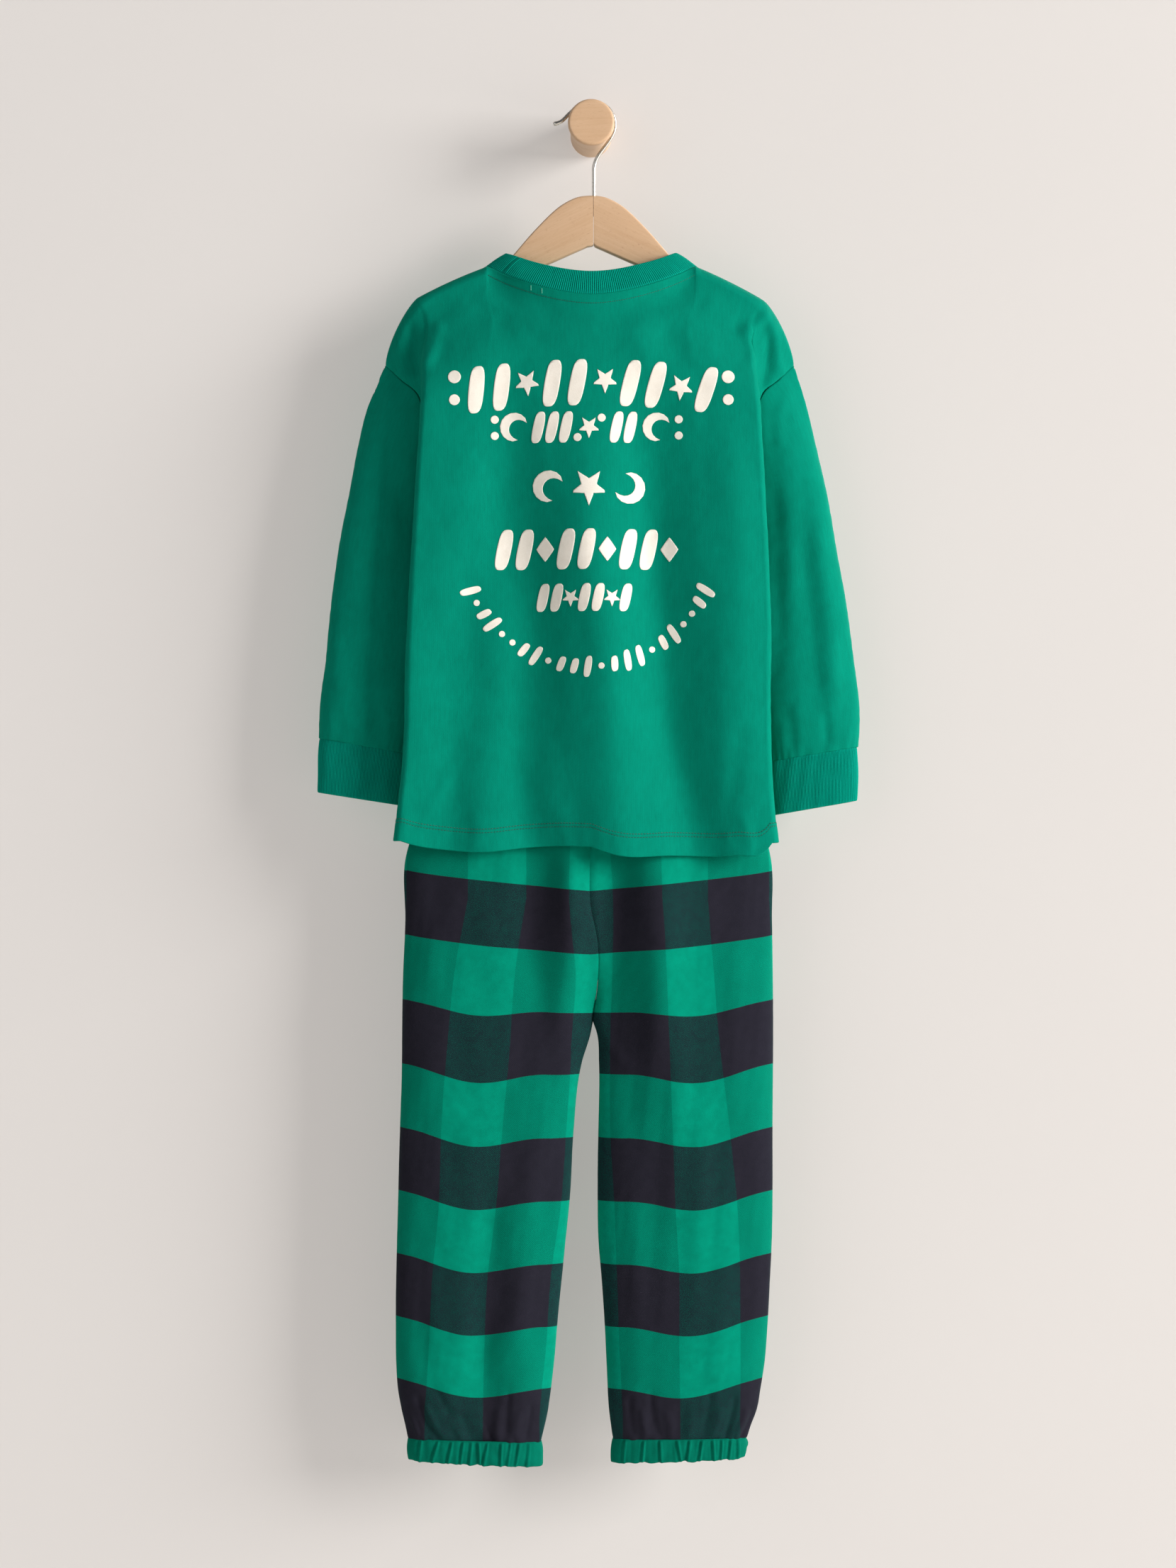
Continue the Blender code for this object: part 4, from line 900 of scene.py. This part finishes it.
# the trousers
trousers = {
    "waistTop": -552.0, "waistSeam": -580.0, "crotch": -787.0, "seatCurve": -690.0, "plane": -62.0,
    "seam": -65.0,
    "cloth": 1.6, "columns": 84, "rows": 190,
    "depth": [(-1180, 14), (-1155, 15), (-1120, 22), (-1000, 24), (-787, 26), (-640, 25), (-580, 22)],
    "centre": [(-800, 1.2), (-787, 1.2), (-762, 5), (-722, 6.2), (-683, -0.6), (-640, -0.6), (-552, 0)],
    "folds": [([(-900, -22), (-560, -17)], [(-860, 0), (-760, 5.5), (-680, 8.5), (-630, 6), (-560, 3)], 14),
              ([(-900, -52), (-560, -48)], [(-860, 0), (-740, -4), (-660, -5), (-560, -2)], 18),
              ([(-960, 76), (-800, 64), (-560, 57)],
               [(-1060, 0), (-960, 2.5), (-860, 5), (-770, 9), (-680, 11.5), (-630, 6), (-560, 3)], 24),
              ([(-960, 28), (-800, 22), (-560, 19)], [(-940, 0), (-860, -2), (-740, -5), (-660, -6),
                                                      (-560, -2)], 17),
              ([(-1150, -96), (-1000, -92), (-860, -96)], [(-1150, -3), (-1080, -5), (-980, -3), (-860, 0)],
               16),
              ([(-1150, -60), (-1000, -62), (-900, -66)], [(-1150, 1.5), (-1060, 3.5), (-960, 2), (-900, 0)],
               16)],
    "creases": [(-140, -700, -132, -900, 3, 14, 1.2), (-60, -800, -80, -1010, 4, 15, -1.5),
                (-100, -860, -112, -1080, -3, 13, 1.5), (-40, -840, -58, -1060, 3, 10, 1.2),
                (120, -700, 128, -900, -3, 14, 1.2), (56, -800, 66, -1000, -3, 15, -1.4),
                (96, -850, 100, -1080, 3, 13, 1.4), (30, -860, 40, -1060, -2, 9, 1.2),
                (2, -792, -40, -840, -4, 6, 1.0), (8, -792, 46, -836, 4, 6, 1.0),
                (-152, -960, -146, -1110, -2, 8, -0.9), (142, -960, 132, -1110, 2, 8, -0.9)],
    # boundaries of the lengthwise stripes by height: outer, middle, inner
    "warpLeft": [(-680, 107.4, 56.4, 16.7), (-744, 119.2, 66.5, 12.5), (-812, 125.9, 71.3, 17.4),
                 (-886, 131, 78.1, 20.5),
                 (-948, 133, 83.1, 25.4), (-1010, 138.9, 90.5, 33.2), (-1072, 142, 93.3, 37.2),
                 (-1134, 146, 94.9, 44.6)],
    "warpRight": [(-680, 101.4, 60.1, 14.3), (-744, 106.6, 64.5, 13.6), (-812, 112.8, 68.2, 13.6),
                  (-886, 121.5, 71.3, 15.5), (-948, 127.7, 73.5, 19.8), (-1010, 130.2, 76.9, 22.3),
                  (-1072, 130.8, 76.9, 24.2), (-1134, 130.2, 78.1, 27.6)],
    # heights of the crosswise stripes' edges at the outseam
    "weft": [-655.7, -712.1, -768.6, -825, -880.6, -936, -991.1, -1046, -1100.5],
    # pleats above the ankle bands: top, bottom, bend, width, height
    "pleatsLeft": [(-153, -1110, -133, -1156, 3, 3, -1.5), (-146, -1118, -124, -1156, 3, 3.2, 1.3),
                   (-140, -1104, -116, -1156, -3, 4, -1.4), (-124, -1130, -110, -1156, 2, 2.6, 1.3),
                   (-112, -1128, -103, -1156, 2, 2.4, -1.5), (-104, -1120, -92, -1156, -2, 2.8, 1.2),
                   (-96, -1132, -84, -1156, 1, 2.4, -1.2), (-80, -1122, -82, -1156, 1, 3, 1.4),
                   (-71, -1108, -73, -1156, 1, 3, -1.5),
                   (-62, -1126, -66, -1156, 1, 3, 1.1), (-52, -1118, -58, -1156, -1, 2.6, -1.1),
                   (-158, -1132, -146, -1156, 1, 2.4, 1)],
    "pleatsRight": [(34, -1112, 38, -1155, 1, 3, -1.3), (44, -1122, 52, -1155, 2, 2.6, 1.3),
                    (52, -1108, 60, -1155, 2, 3, -1.4),
                    (66, -1126, 70, -1155, -1, 2.6, 1.2), (80, -1118, 78, -1155, 1, 3, -1.3),
                    (90, -1124, 86, -1155, 1, 2.6, 1.3),
                    (104, -1106, 96, -1155, -2, 3.2, -1.5), (114, -1120, 104, -1155, -2, 2.8, 1.3),
                    (126, -1112, 114, -1155, -2, 3, -1.4),
                    (136, -1122, 123, -1155, -2, 2.8, 1.2), (142, -1126, 130, -1155, -1, 2.4, -1)],
}


# one point of a leg: an oval from the inseam (or the centre seam, where it turns face on) to the outseam
def legPoint(across, z, side, back):
    begin = np.pi / 2 * (1 - ease((trousers["seatCurve"] - z) / (trousers["seatCurve"] - trousers["crotch"])))
    turn = mix(begin, np.pi, across)
    first = bulge(np.cos(begin))
    share = (first - bulge(np.cos(turn))) / (first + 1)
    near = np.where(z > trousers["crotch"], side["sign"] * curve(trousers["centre"])(z),
                    curve(side["legIn"])(z))
    x = side["sign"] * mix(near, curve(side["legOut"])(z), share)
    depth = curve(trousers["depth"])(z) * bulge(np.sin(turn))
    if back:
        depth = depth + longFolds(x, z, trousers["folds"]) * np.sin(turn)
    middle = mix(trousers["seam"], trousers["plane"], np.sin(turn))
    return np.stack([x, middle - depth if back else middle + depth, z], -1)


# stripe coordinates: each whole number is a boundary between two stripes, and past the last one they go on
# by the cloth's own length; the crosswise stripes sag between the seams
def stripePlaces(grid, side, back):
    x, z = side["sign"] * grid[..., 0], grid[..., 2]
    table = np.array(trousers["warp" + side["name"].title()])
    outer, middle, inner = (curve(zip(table[:, 0], table[:, i]))(z) for i in (1, 2, 3))
    band = flannelFinish["band"]
    phase = np.where(x < inner, 1 + (x - inner) / band,
                     np.where(x < middle, 1 + (x - inner) / (middle - inner),
                              np.where(x < outer, 2 + (x - middle) / (outer - middle),
                                       3 + (x - outer) / band)))
    if not back:
        phase = 0.75 + x / band
    step = np.linalg.norm(np.diff(grid, axis=1), axis=2) - np.abs(np.diff(grid[..., 0], axis=1))
    extra = np.concatenate([0 * x[:, :1], np.cumsum(step, axis=1)], 1)
    phase = phase + (extra - extra[:, x.shape[1] // 2][:, None]) / band
    share = np.clip((curve(side["legOut"])(z) - x) / 130, 0, 1)
    hip = 17.7 * np.clip(1 - np.abs(x) / 160, 0, 1) ** 0.8
    calf = 9 * share + 12.5 * np.sin(np.pi * share) ** 2 * 0.9
    sag = mix(hip, calf, ease((-700 - z) / 130))
    if not back:
        sag = sag * 0.3
    level = np.interp(-(z + sag), -np.array(trousers["weft"]), np.arange(9.0))
    level = level + np.clip(trousers["weft"][-1] - (z + sag), 0, None) / band \
        - np.clip(z + sag - trousers["weft"][0], 0, None) / band
    return phase * band, level * band


def legPiece(side, back):
    rows = np.concatenate([np.linspace(0, 0.9, trousers["rows"] - 50), np.linspace(0.9, 0.992, 45)[1:],
                           [0.995, 0.9975, 1]])
    across, share = np.meshgrid(np.linspace(0, 1, trousers["columns"]), rows)
    (far, farZ), (near, nearZ) = side["bandSeam"]
    lowZ = mix(nearZ, farZ, ovalPlace(np.pi * across))
    z = mix(trousers["waistSeam"] - gap / 2, lowZ + gap / 2, share)
    grid = legPoint(across, z, side, back)
    sign = side["sign"]
    x = grid[..., 0]
    level = np.clip(np.sin(np.pi * across) * 3, 0, 1)
    uvAcross, uvDown = stripePlaces(grid, side, back)
    if back:
        relief = creases(x, z, trousers["creases"] + trousers["pleats" + side["name"].title()])
    else:
        pleats = trousers["pleats" + ("Right" if sign < 0 else "Left")]
        relief = creases(-x, z, trousers["creases"][:-2]) + creases(-x - sign * 4, z, pleats)
    waves = 0.4 * unevenness(x, z * 0.45, 34, 31 + sign + 3 * back) + 0.12 * unevenness(x, z, 12, 41)
    relief = relief * level + waves * level
    gather = np.sin(across * 61 + 3 * np.sin(across * 17)) * np.exp(-((1 - share) / 0.02))
    relief = relief + 0.5 * gather * level - 0.4 * np.exp(-(1 - share) / 0.003)
    edge = np.exp(-across * 120 / 2.2) + np.exp(-(1 - across) * 120 / 2.2)
    relief = relief - 0.35 * edge * (z < -560)
    normals = gridNormals(grid)
    facing = np.sign(normals[..., 1].mean()) * (-1 if back else 1)
    grid = grid + normals * (relief * facing)[..., None]

    def trim(layer):
        flipped = np.abs(layer[0, 0, 0]) > np.abs(layer[0, -1, 0])
        inner = layer[:, -2:] if flipped else layer[:, :2]
        limit = curve(trousers["centre"])(inner[..., 2]) + sign * gap / 2
        above = inner[..., 2] > trousers["crotch"] - 6
        inner[..., 0] = np.where(above, np.maximum(inner[..., 0] * sign, limit * sign) * sign, inner[..., 0])
        seam = trousers["seam"] + (-gap / 2 if back else gap / 2)
        keep = np.minimum if back else np.maximum
        for place in (0, -1):
            layer[:, place, 1] = keep(layer[:, place, 1], seam)
    uv = np.stack([uvAcross, uvDown], -1)
    flip = gridNormals(grid)[..., 1].mean() * (-1 if back else 1) < 0
    return clothPiece(f"leg{side['name'].title()}{'Back' if back else 'Front'}",
                      f"leg_{side['name']}_{'back' if back else 'front'}", check, "check_flannel", grid,
                      trousers["cloth"], uv, flip=flip, trim=trim)


legs = [legPiece(side, back) for side in (left, right) for back in (True, False)]
print("legs made")

ankle = {
    "depth": (15, 14), "cloth": 2.2, "columns": 420, "length": 21,
    "rows": [0, 0.02, 0.06, 0.12, 0.2, 0.3, 0.42, 0.54, 0.66, 0.78, 0.88, 0.94, 0.98, 1],
    # gathers on the seen side: place at the top, place at the bottom, width, height
    "left": [(-148, -150, 1.4, 1.0), (-133, -139, 1.6, 1.3), (-121, -125, 1.4, 1.2), (-111, -114, 1.2, 1.0),
             (-104, -106, 1.2, 0.9), (-98, -97, 1.4, 1.3), (-90, -94, 1.3, 1.1), (-78, -79, 1.6, 1.3),
             (-70, -73, 1.2, 0.9),
             (-62, -66, 1.2, 1.0), (-54, -56, 1.2, 0.8)],
    "right": [(31, 29, 1.4, 0.9), (47, 45, 1.4, 1.2), (61, 62, 1.5, 1.1), (76, 79, 1.5, 1.2),
              (87, 85, 1.4, 1.1),
              (98, 95, 1.5, 1.3), (107, 108, 1.3, 1.1), (115, 114, 1.3, 1.0), (123, 121, 1.4, 1.2),
              (129, 129, 1.2, 0.8)],
}


# a short oval tube with slanted standing gathers; its lower edge is a little scalloped
def anklePiece(side):
    sign = side["sign"]
    turn, share, x, out, z, length = slantedTube(side["bandSeam"], side["bandEnd"], ankle["depth"],
                                                 ankle["columns"], ankle["rows"])
    scallop = 0.5 * unevenness(x * sign, 0 * x, 11, 51 + sign) * ease((share - 0.4) / 0.6)
    z = z + scallop
    grid = np.stack([sign * x, trousers["plane"] - 1 + out, z], -1)
    relief = 0 * x
    for table, place, seen in ((side["name"], sign * x, np.sin(turn) > 0),
                               ("right" if sign < 0 else "left", -sign * x, np.sin(turn) < 0)):
        for high, low, width, height in ankle[table]:
            off = place - mix(high, low, share)
            sharp = np.where(off > 0, width * 0.6, width * 1.6)
            fold = np.exp(-(off / sharp) ** 2) - 0.8 * np.exp(-((off + 2.4) / 1.2) ** 2)
            relief = relief + height * fold * seen
    gathers = relief * ease(share / 0.1) * ease((1.1 - share) / 0.2)
    relief = 1.1 * np.sin(np.pi * share) ** 0.6 - 0.4 + 0.25 * unevenness(x, z * 0.4, 7, 61)
    grid = grid + gridNormals(grid, True) * (-sign * relief)[..., None]
    around = length / ankle["columns"] * np.arange(ankle["columns"] + 1)
    uv = np.stack([around + 0 * share[:, :1], -share[:, :1] * ankle["length"] + 0 * around], -1)
    return clothPiece("ankleBand" + side["name"].title(), "ankle_band_" + side["name"], plainFlannel,
                      "plain_flannel",
                      grid, ankle["cloth"], uv, ring=True, flip=sign > 0, raised=gathers)


# an oval tube inside the top, gathered by its elastic: relief = sin of its many small pleats
def waistPiece():
    turn = np.linspace(0, 2 * np.pi, 300, endpoint=False)
    share = np.linspace(0, 1, 14)[:, None] + 0 * turn
    far, near = curve(right["legOut"])(-580), -curve(left["legOut"])(-580)
    x, out = oval(turn, near + 0 * share, far, curve(trousers["depth"])(-580) + 0 * share)
    x = x - 3 * np.sign(x) * np.sin(np.pi * share) * np.abs(x) / far
    grid = np.stack([x, trousers["plane"] + out, mix(trousers["waistTop"], trousers["waistSeam"] + gap / 2,
                                                     share)], -1)
    pleats = 0.7 * np.sin(turn * 64 + 2 * np.sin(turn * 7)) * np.sin(np.pi * share) ** 0.5
    normals = gridNormals(grid, True)
    grid = grid - normals * pleats[..., None]
    around = walked(np.concatenate([grid[5], grid[5, :1]]), 0)
    uv = np.stack([around + 0 * share[:, :1], -share[:, :1] * 28 + 0 * around], -1)
    return clothPiece("elasticWaist", "waistband", plainFlannel, "plain_flannel", grid, 2.2, uv,
                      ring=True, flip=True)


ankles = [anklePiece(side) for side in (left, right)]
waist = waistPiece()
print("bands made")

# stitching
stitches = {
    "stand": 0.85, "tackStand": 0.9,    # how far the thread stands off the middle of the cloth
    "hem": (2.6, 1.9, 0.42, 0.3),       # pitch, length, half width, half height
    "neck": (2.1, 1.4, 0.36, 0.28),
    "tack": (1.1, 1.0, 0.4, 0.3), "tackAt": (-54, -42),
}


# capsules along a line: centre + tangent s + side r cos t + normal r sin t, all stitches in one mesh
def stitchRow(name, lines, sizes, material):
    pitch, length, width, height = sizes
    points, faces = [], []
    turn = np.linspace(0, 2 * np.pi, 6, endpoint=False)
    ringPlace, ringSize = np.array([-0.5, -0.36, 0, 0.36, 0.5]), np.array([0.3, 0.85, 1, 0.85, 0.3])
    number = np.arange(30).reshape(5, 6)
    tube = cells(np.concatenate([number, number[:, :1]], 1))
    for line, normals in lines:
        walk = walked(line, 0)
        centre = np.arange(pitch, walk[-1] - pitch, pitch)
        place = np.stack([np.interp(centre, walk, line[:, i]) for i in range(3)], -1)
        up = np.stack([np.interp(centre, walk, normals[:, i]) for i in range(3)], -1)
        ahead = np.stack([np.interp(centre + 0.5, walk, line[:, i]) for i in range(3)], -1) - place
        ahead /= np.linalg.norm(ahead, axis=1, keepdims=True)
        up -= ahead * np.sum(up * ahead, axis=1, keepdims=True)
        up /= np.linalg.norm(up, axis=1, keepdims=True)
        side = np.cross(ahead, up)
        shape = (place[:, None, None] + ahead[:, None, None] * (ringPlace * length)[:, None, None]
                 + side[:, None, None] * (ringSize[:, None] * width * np.cos(turn))[..., None]
                 + up[:, None, None] * (ringSize[:, None] * height * np.sin(turn))[..., None])
        start = sum(len(p) for p in points) + 30 * np.arange(len(centre))[:, None, None]
        points.append(shape.reshape(-1, 3))
        faces += (tube + start).reshape(-1, 4).tolist()
        for end in (number[:1], number[-1:, ::-1]):
            faces += (end + start).reshape(-1, 6).tolist()
    return addPiece(name, np.concatenate(points), faces, None, material)


def hemLines(grid, normals):
    rows = [len(grid) - len(toHem) + toHem.index(height) for height in top["hemStitches"]]
    return [((grid + normals * stitches["stand"])[row, 3:-3], normals[row, 3:-3]) for row in rows]


hemStitchBack = stitchRow("hemStitchesBack", hemLines(backGrid, backNormals), stitches["hem"], thread)
hemStitchFront = stitchRow("hemStitchesFront", hemLines(frontGrid, frontNormals), stitches["hem"], thread)
neckRow = fromTop.index(7.7)
neckSpan = slice(backMiddle - neckColumns + 1, backMiddle + neckColumns)
neckLine = (backGrid + backNormals * stitches["stand"])[neckRow, neckSpan]
neckStitch = stitchRow("neckStitches", [(neckLine, backNormals[neckRow, neckSpan])], stitches["neck"],
                       thread)
tackPlaces = [np.abs(backGrid[0, :, 0] - x).argmin() for x in stitches["tackAt"]]
tackGrid = backGrid + backNormals * stitches["tackStand"]
tackLines = [(tackGrid[1:9, i], backNormals[1:9, i]) for i in tackPlaces]
tacks = stitchRow("labelTacks", tackLines, stitches["tack"], paleThread)
print("stitches made")

# the print: a plain pattern of lozenges, stars, dots and crescents, on curved lines
motif = {
    "film": 0.3, "lift": 0.05,          # thickness of the print, and its distance from the cloth
    "cells": 12,
    # shape, half width, half height, lean, then places: across, height, turn
    "rows": [
        ("lozenge", 6.6, 20, 0.2,
         [(x, -231 - 0.00062 * x * x, -x * 0.0011) for x in (-100, -78, -34, -12, 34, 56, 100)]),
        ("star", 12.5, 12.5, 0, [(-56, -231, 0.1), (12, -229, 0), (78, -235, -0.1)]),
        ("dot", 5.5, 5.5, 0, [(-119, -226, 0), (119, -226, 0)]),
        ("dot", 4.6, 4.6, 0, [(-119, -246, 0), (119, -246, 0)]),
        ("crescent", 13.5, 13.5, 0.5, [(-66, -270, 0), (58, -270, 0)]),
        ("lozenge", 4.6, 13.5, 0.2, [(x, -270, 0) for x in (-46, -34, -22, 22, 34)]),
        ("star", 10.5, 10.5, 0, [(-2, -270, 0)]),
        ("dot", 3.4, 3.4, 0, [(-84, -263, 0), (-84, -277, 0), (76, -263, 0), (76, -277, 0), (9, -262, 0),
                              (-12, -279, 0)]),
        ("star", 17.5, 17.5, 0, [(-2, -322, 0)]),
        ("crescent", 15, 15, 0.5, [(-36, -322, 0)]),
        ("crescent", 15, 15, 3.64, [(32, -322, 0)]),
        ("lozenge", 6.2, 17.5, 0.2, [(x, -376, 0) for x in (-76, -58, -22, -4, 32, 50)]),
        ("diamond", 7.5, 10.5, 0, [(-40, -376, 0), (14, -376, 0), (68, -376, 0)]),
        ("lozenge", 4.4, 12, 0.2, [(x, -418, 0) for x in (-42, -30, -6, 6, 30)]),
        ("star", 8.5, 8.5, 0, [(-18, -418, 0), (18, -418, 0)]),
    ],
    "arc": {"centre": (-3, -366), "radius": 112, "from": -2.72, "to": -0.42, "count": 23},
}


# every shape is the square grid (a, b) of -1..1 bent to a disc, x = a sqrt(1 - b^2/2), then scaled by its own
# outline r(t); a crescent is a bent strip whose width is that of a new moon
def motifShape(kind, halfWidth, halfHeight, lean):
    a, b = np.meshgrid(np.linspace(-1, 1, motif["cells"] + 1), np.linspace(1, -1, motif["cells"] + 1))
    if kind == "crescent":
        turn = lean + 2.25 * a
        radius = halfWidth * (0.8 + 0.3 * b * np.cos(a * np.pi / 2) ** 0.8 - 0.1 * (1 - a * a))
        return radius * -np.cos(turn), radius * np.sin(turn)
    x, z = a * np.sqrt(1 - b * b / 2), b * np.sqrt(1 - a * a / 2)
    turn = np.arctan2(z, x)
    size = 1.0 + 0 * turn
    if kind == "star":
        wedge = np.mod(turn - np.pi / 2 + np.pi / 5, 2 * np.pi / 5) - np.pi / 5
        size = 0.42 / np.maximum(np.sin(np.pi / 5 - np.abs(wedge) + 0.36) / np.sin(0.94), 0.3)
        size = size / 1.02
    if kind == "diamond":
        size = 1 / (np.abs(np.cos(turn)) ** 1.15 + np.abs(np.sin(turn)) ** 1.15)
    if kind == "lozenge":
        size = 1 / (np.abs(np.cos(turn)) ** 3.2 + np.abs(np.sin(turn)) ** 3.2) ** (1 / 3.2)
    x, z = x * size * halfWidth, z * size * halfHeight
    return x + z * lean, z


# flat shapes are thrown straight back on the cloth, then each becomes a thin closed film
def motifPiece():
    flats = []
    for kind, halfWidth, halfHeight, lean, places in motif["rows"]:
        shapeX, shapeZ = motifShape(kind, halfWidth, halfHeight, lean)
        for x, z, turn in places:
            flats.append((x + shapeX * np.cos(turn) - shapeZ * np.sin(turn),
                          z + shapeX * np.sin(turn) + shapeZ * np.cos(turn)))
    arcShape = motif["arc"]
    for i, turn in enumerate(np.linspace(arcShape["from"], arcShape["to"], arcShape["count"])):
        kind, size = (("lozenge", (3.0, 9.0, 0.15)), ("lozenge", (3.0, 6.5, 0.15)),
                      ("dot", (2.6, 2.6, 0)))[(i * 2 + i // 5) % 3]
        shapeX, shapeZ = motifShape(kind, *size)
        tilt = turn + np.pi / 2
        x0 = arcShape["centre"][0] + arcShape["radius"] * np.cos(turn)
        z0 = arcShape["centre"][1] + arcShape["radius"] * np.sin(turn)
        flats.append((x0 + shapeX * np.cos(tilt) - shapeZ * np.sin(tilt),
                      z0 + shapeX * np.sin(tilt) + shapeZ * np.cos(tilt)))
    x, z = (np.stack(part) for part in zip(*flats))
    flat = np.stack([x, -200 + 0 * x, z], -1)
    mesh = bpy.data.meshes.new("flatMotif")
    mesh.from_pydata((flat.reshape(-1, 3) * mm).tolist(), [], [])
    thrown = bpy.data.objects.new("flatMotif", mesh)
    collection.objects.link(thrown)
    wrap = thrown.modifiers.new("onCloth", "SHRINKWRAP")
    wrap.target, wrap.wrap_method = backPiece, "PROJECT"
    wrap.use_project_y, wrap.use_positive_direction, wrap.use_negative_direction = True, True, False
    bpy.context.view_layer.update()
    laid = thrown.evaluated_get(bpy.context.evaluated_depsgraph_get()).data
    place = np.empty(len(laid.vertices) * 3)
    laid.vertices.foreach_get("co", place)
    bpy.data.objects.remove(thrown)
    grids = place.reshape(*flat.shape) / mm
    grids[..., 1] -= motif["lift"] + motif["film"] / 2
    parts = [shellParts(grid, motif["film"], grid[..., [0, 2]], rim=0.5) for grid in grids]
    starts = np.cumsum([0] + [len(p) for p, _, _ in parts[:-1]])
    faces = np.concatenate([f + s for (_, f, _), s in zip(parts, starts)])
    return addPiece("printedMotif", np.concatenate([p for p, _, _ in parts]), faces, None, ink)


motifFilm = motifPiece()
print("print made")

for piece, sleeve in zip(cuffs, sleeves):
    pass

# wall, floor, lights and camera
studio = {
    "wall": rgb(169, 165, 162), "wallGlow": 0.85, "floor": rgb(226, 222, 218), "floorHeight": -1.45,
    "key": {"place": (6.3, -3.3, 1.2), "size": 3.4, "power": 800, "colour": (1.0, 0.985, 0.965)},
    "fill": {"place": (-2.6, -3.2, 0.2), "size": 3.0, "power": 32, "colour": (0.96, 0.98, 1.0)},
    "back": {"place": (1.8, 2.8, 0.8), "size": 2.4, "power": 120, "colour": (1.0, 0.99, 0.97)},
    "target": (0.0, -0.05, -0.58),
    "air": (0.93, 0.95, 1.0), "airStrength": 0.09,
    "eye": (-0.0028, -3.28, -0.580), "lens": 84.0,
}


def stagePlane(name, centre, across, up, material):
    signs = ((-1, -1), (1, -1), (1, 1), (-1, 1))
    corners = [np.array(centre) + a * np.array(across) + b * np.array(up) for a, b in signs]
    mesh = bpy.data.meshes.new(name)
    mesh.from_pydata([tuple(map(float, corner)) for corner in corners], [], [(0, 1, 2, 3)])
    mesh.materials.append(material)
    plane = bpy.data.objects.new(name, mesh)
    collection.objects.link(plane)
    return plane


def paintMaterial(name, colour, seeThroughBack, glow=0.0):
    made, wire, shader = newMaterial(name, Roughness=0.9, Specular_IOR_Level=0.2,
                                     Emission_Color=colour, Emission_Strength=glow)
    place = wire.node("TexCoord", {}, {}, 3)
    mottle = wire.node("TexNoise", {}, {"Vector": place, "Scale": 2.5, "Detail": 3.0})
    darker = tuple(c * 0.95 for c in colour[:3]) + (1,)
    plug(wire, shader, Base_Color=mottle.colour(darker, colour))
    if seeThroughBack:
        behind = wire.node("NewGeometry", {}, {}, 6)
        clear = wire.node("BsdfTransparent")
        both = wire.node("MixShader", {}, {0: behind, 2: clear})
        wire.tree.links.new(shader.outputs[0], both.socket.node.inputs[1])
        wire.tree.links.new(both.socket, wire.tree.nodes["Material Output"].inputs["Surface"])
    return made


wall = stagePlane("wall", (0, 0.002, 0.3), (4, 0, 0), (0, 0, 1.75),
                  paintMaterial("wallPaint", studio["wall"], True, studio["wallGlow"]))
wall.visible_shadow = False
floor = stagePlane("floor", (0, 0, studio["floorHeight"]), (6, 0, 0), (0, 6, 0),
                   paintMaterial("floorPaint", studio["floor"], False))


def areaLight(name, place, size, power, colour):
    data = bpy.data.lights.new(name, "AREA")
    data.size, data.energy, data.color = size, power, colour
    lamp = bpy.data.objects.new(name, data)
    lamp.location = place
    toward = np.array(studio["target"]) - np.array(place)
    lamp.rotation_euler = (np.arccos(-toward[2] / np.linalg.norm(toward)), 0,
                           np.arctan2(toward[1], toward[0]) - np.pi / 2)
    collection.objects.link(lamp)


for light in ("key", "fill", "back"):
    areaLight(light, **studio[light])
world = bpy.data.worlds.new("studioAir")
bpy.context.scene.world = world
world.use_nodes = True
world.node_tree.nodes["Background"].inputs["Color"].default_value = (*studio["air"], 1)
world.node_tree.nodes["Background"].inputs["Strength"].default_value = studio["airStrength"]

lensData = bpy.data.cameras.new("camera")
lensData.sensor_fit, lensData.sensor_height, lensData.lens = "VERTICAL", 36.0, studio["lens"]
camera = bpy.data.objects.new("camera", lensData)
camera.location = studio["eye"]
camera.rotation_euler = (np.pi / 2, 0, 0)
collection.objects.link(camera)
bpy.context.scene.camera = camera
bpy.context.scene.view_settings.view_transform = "Standard"
print("studio made")
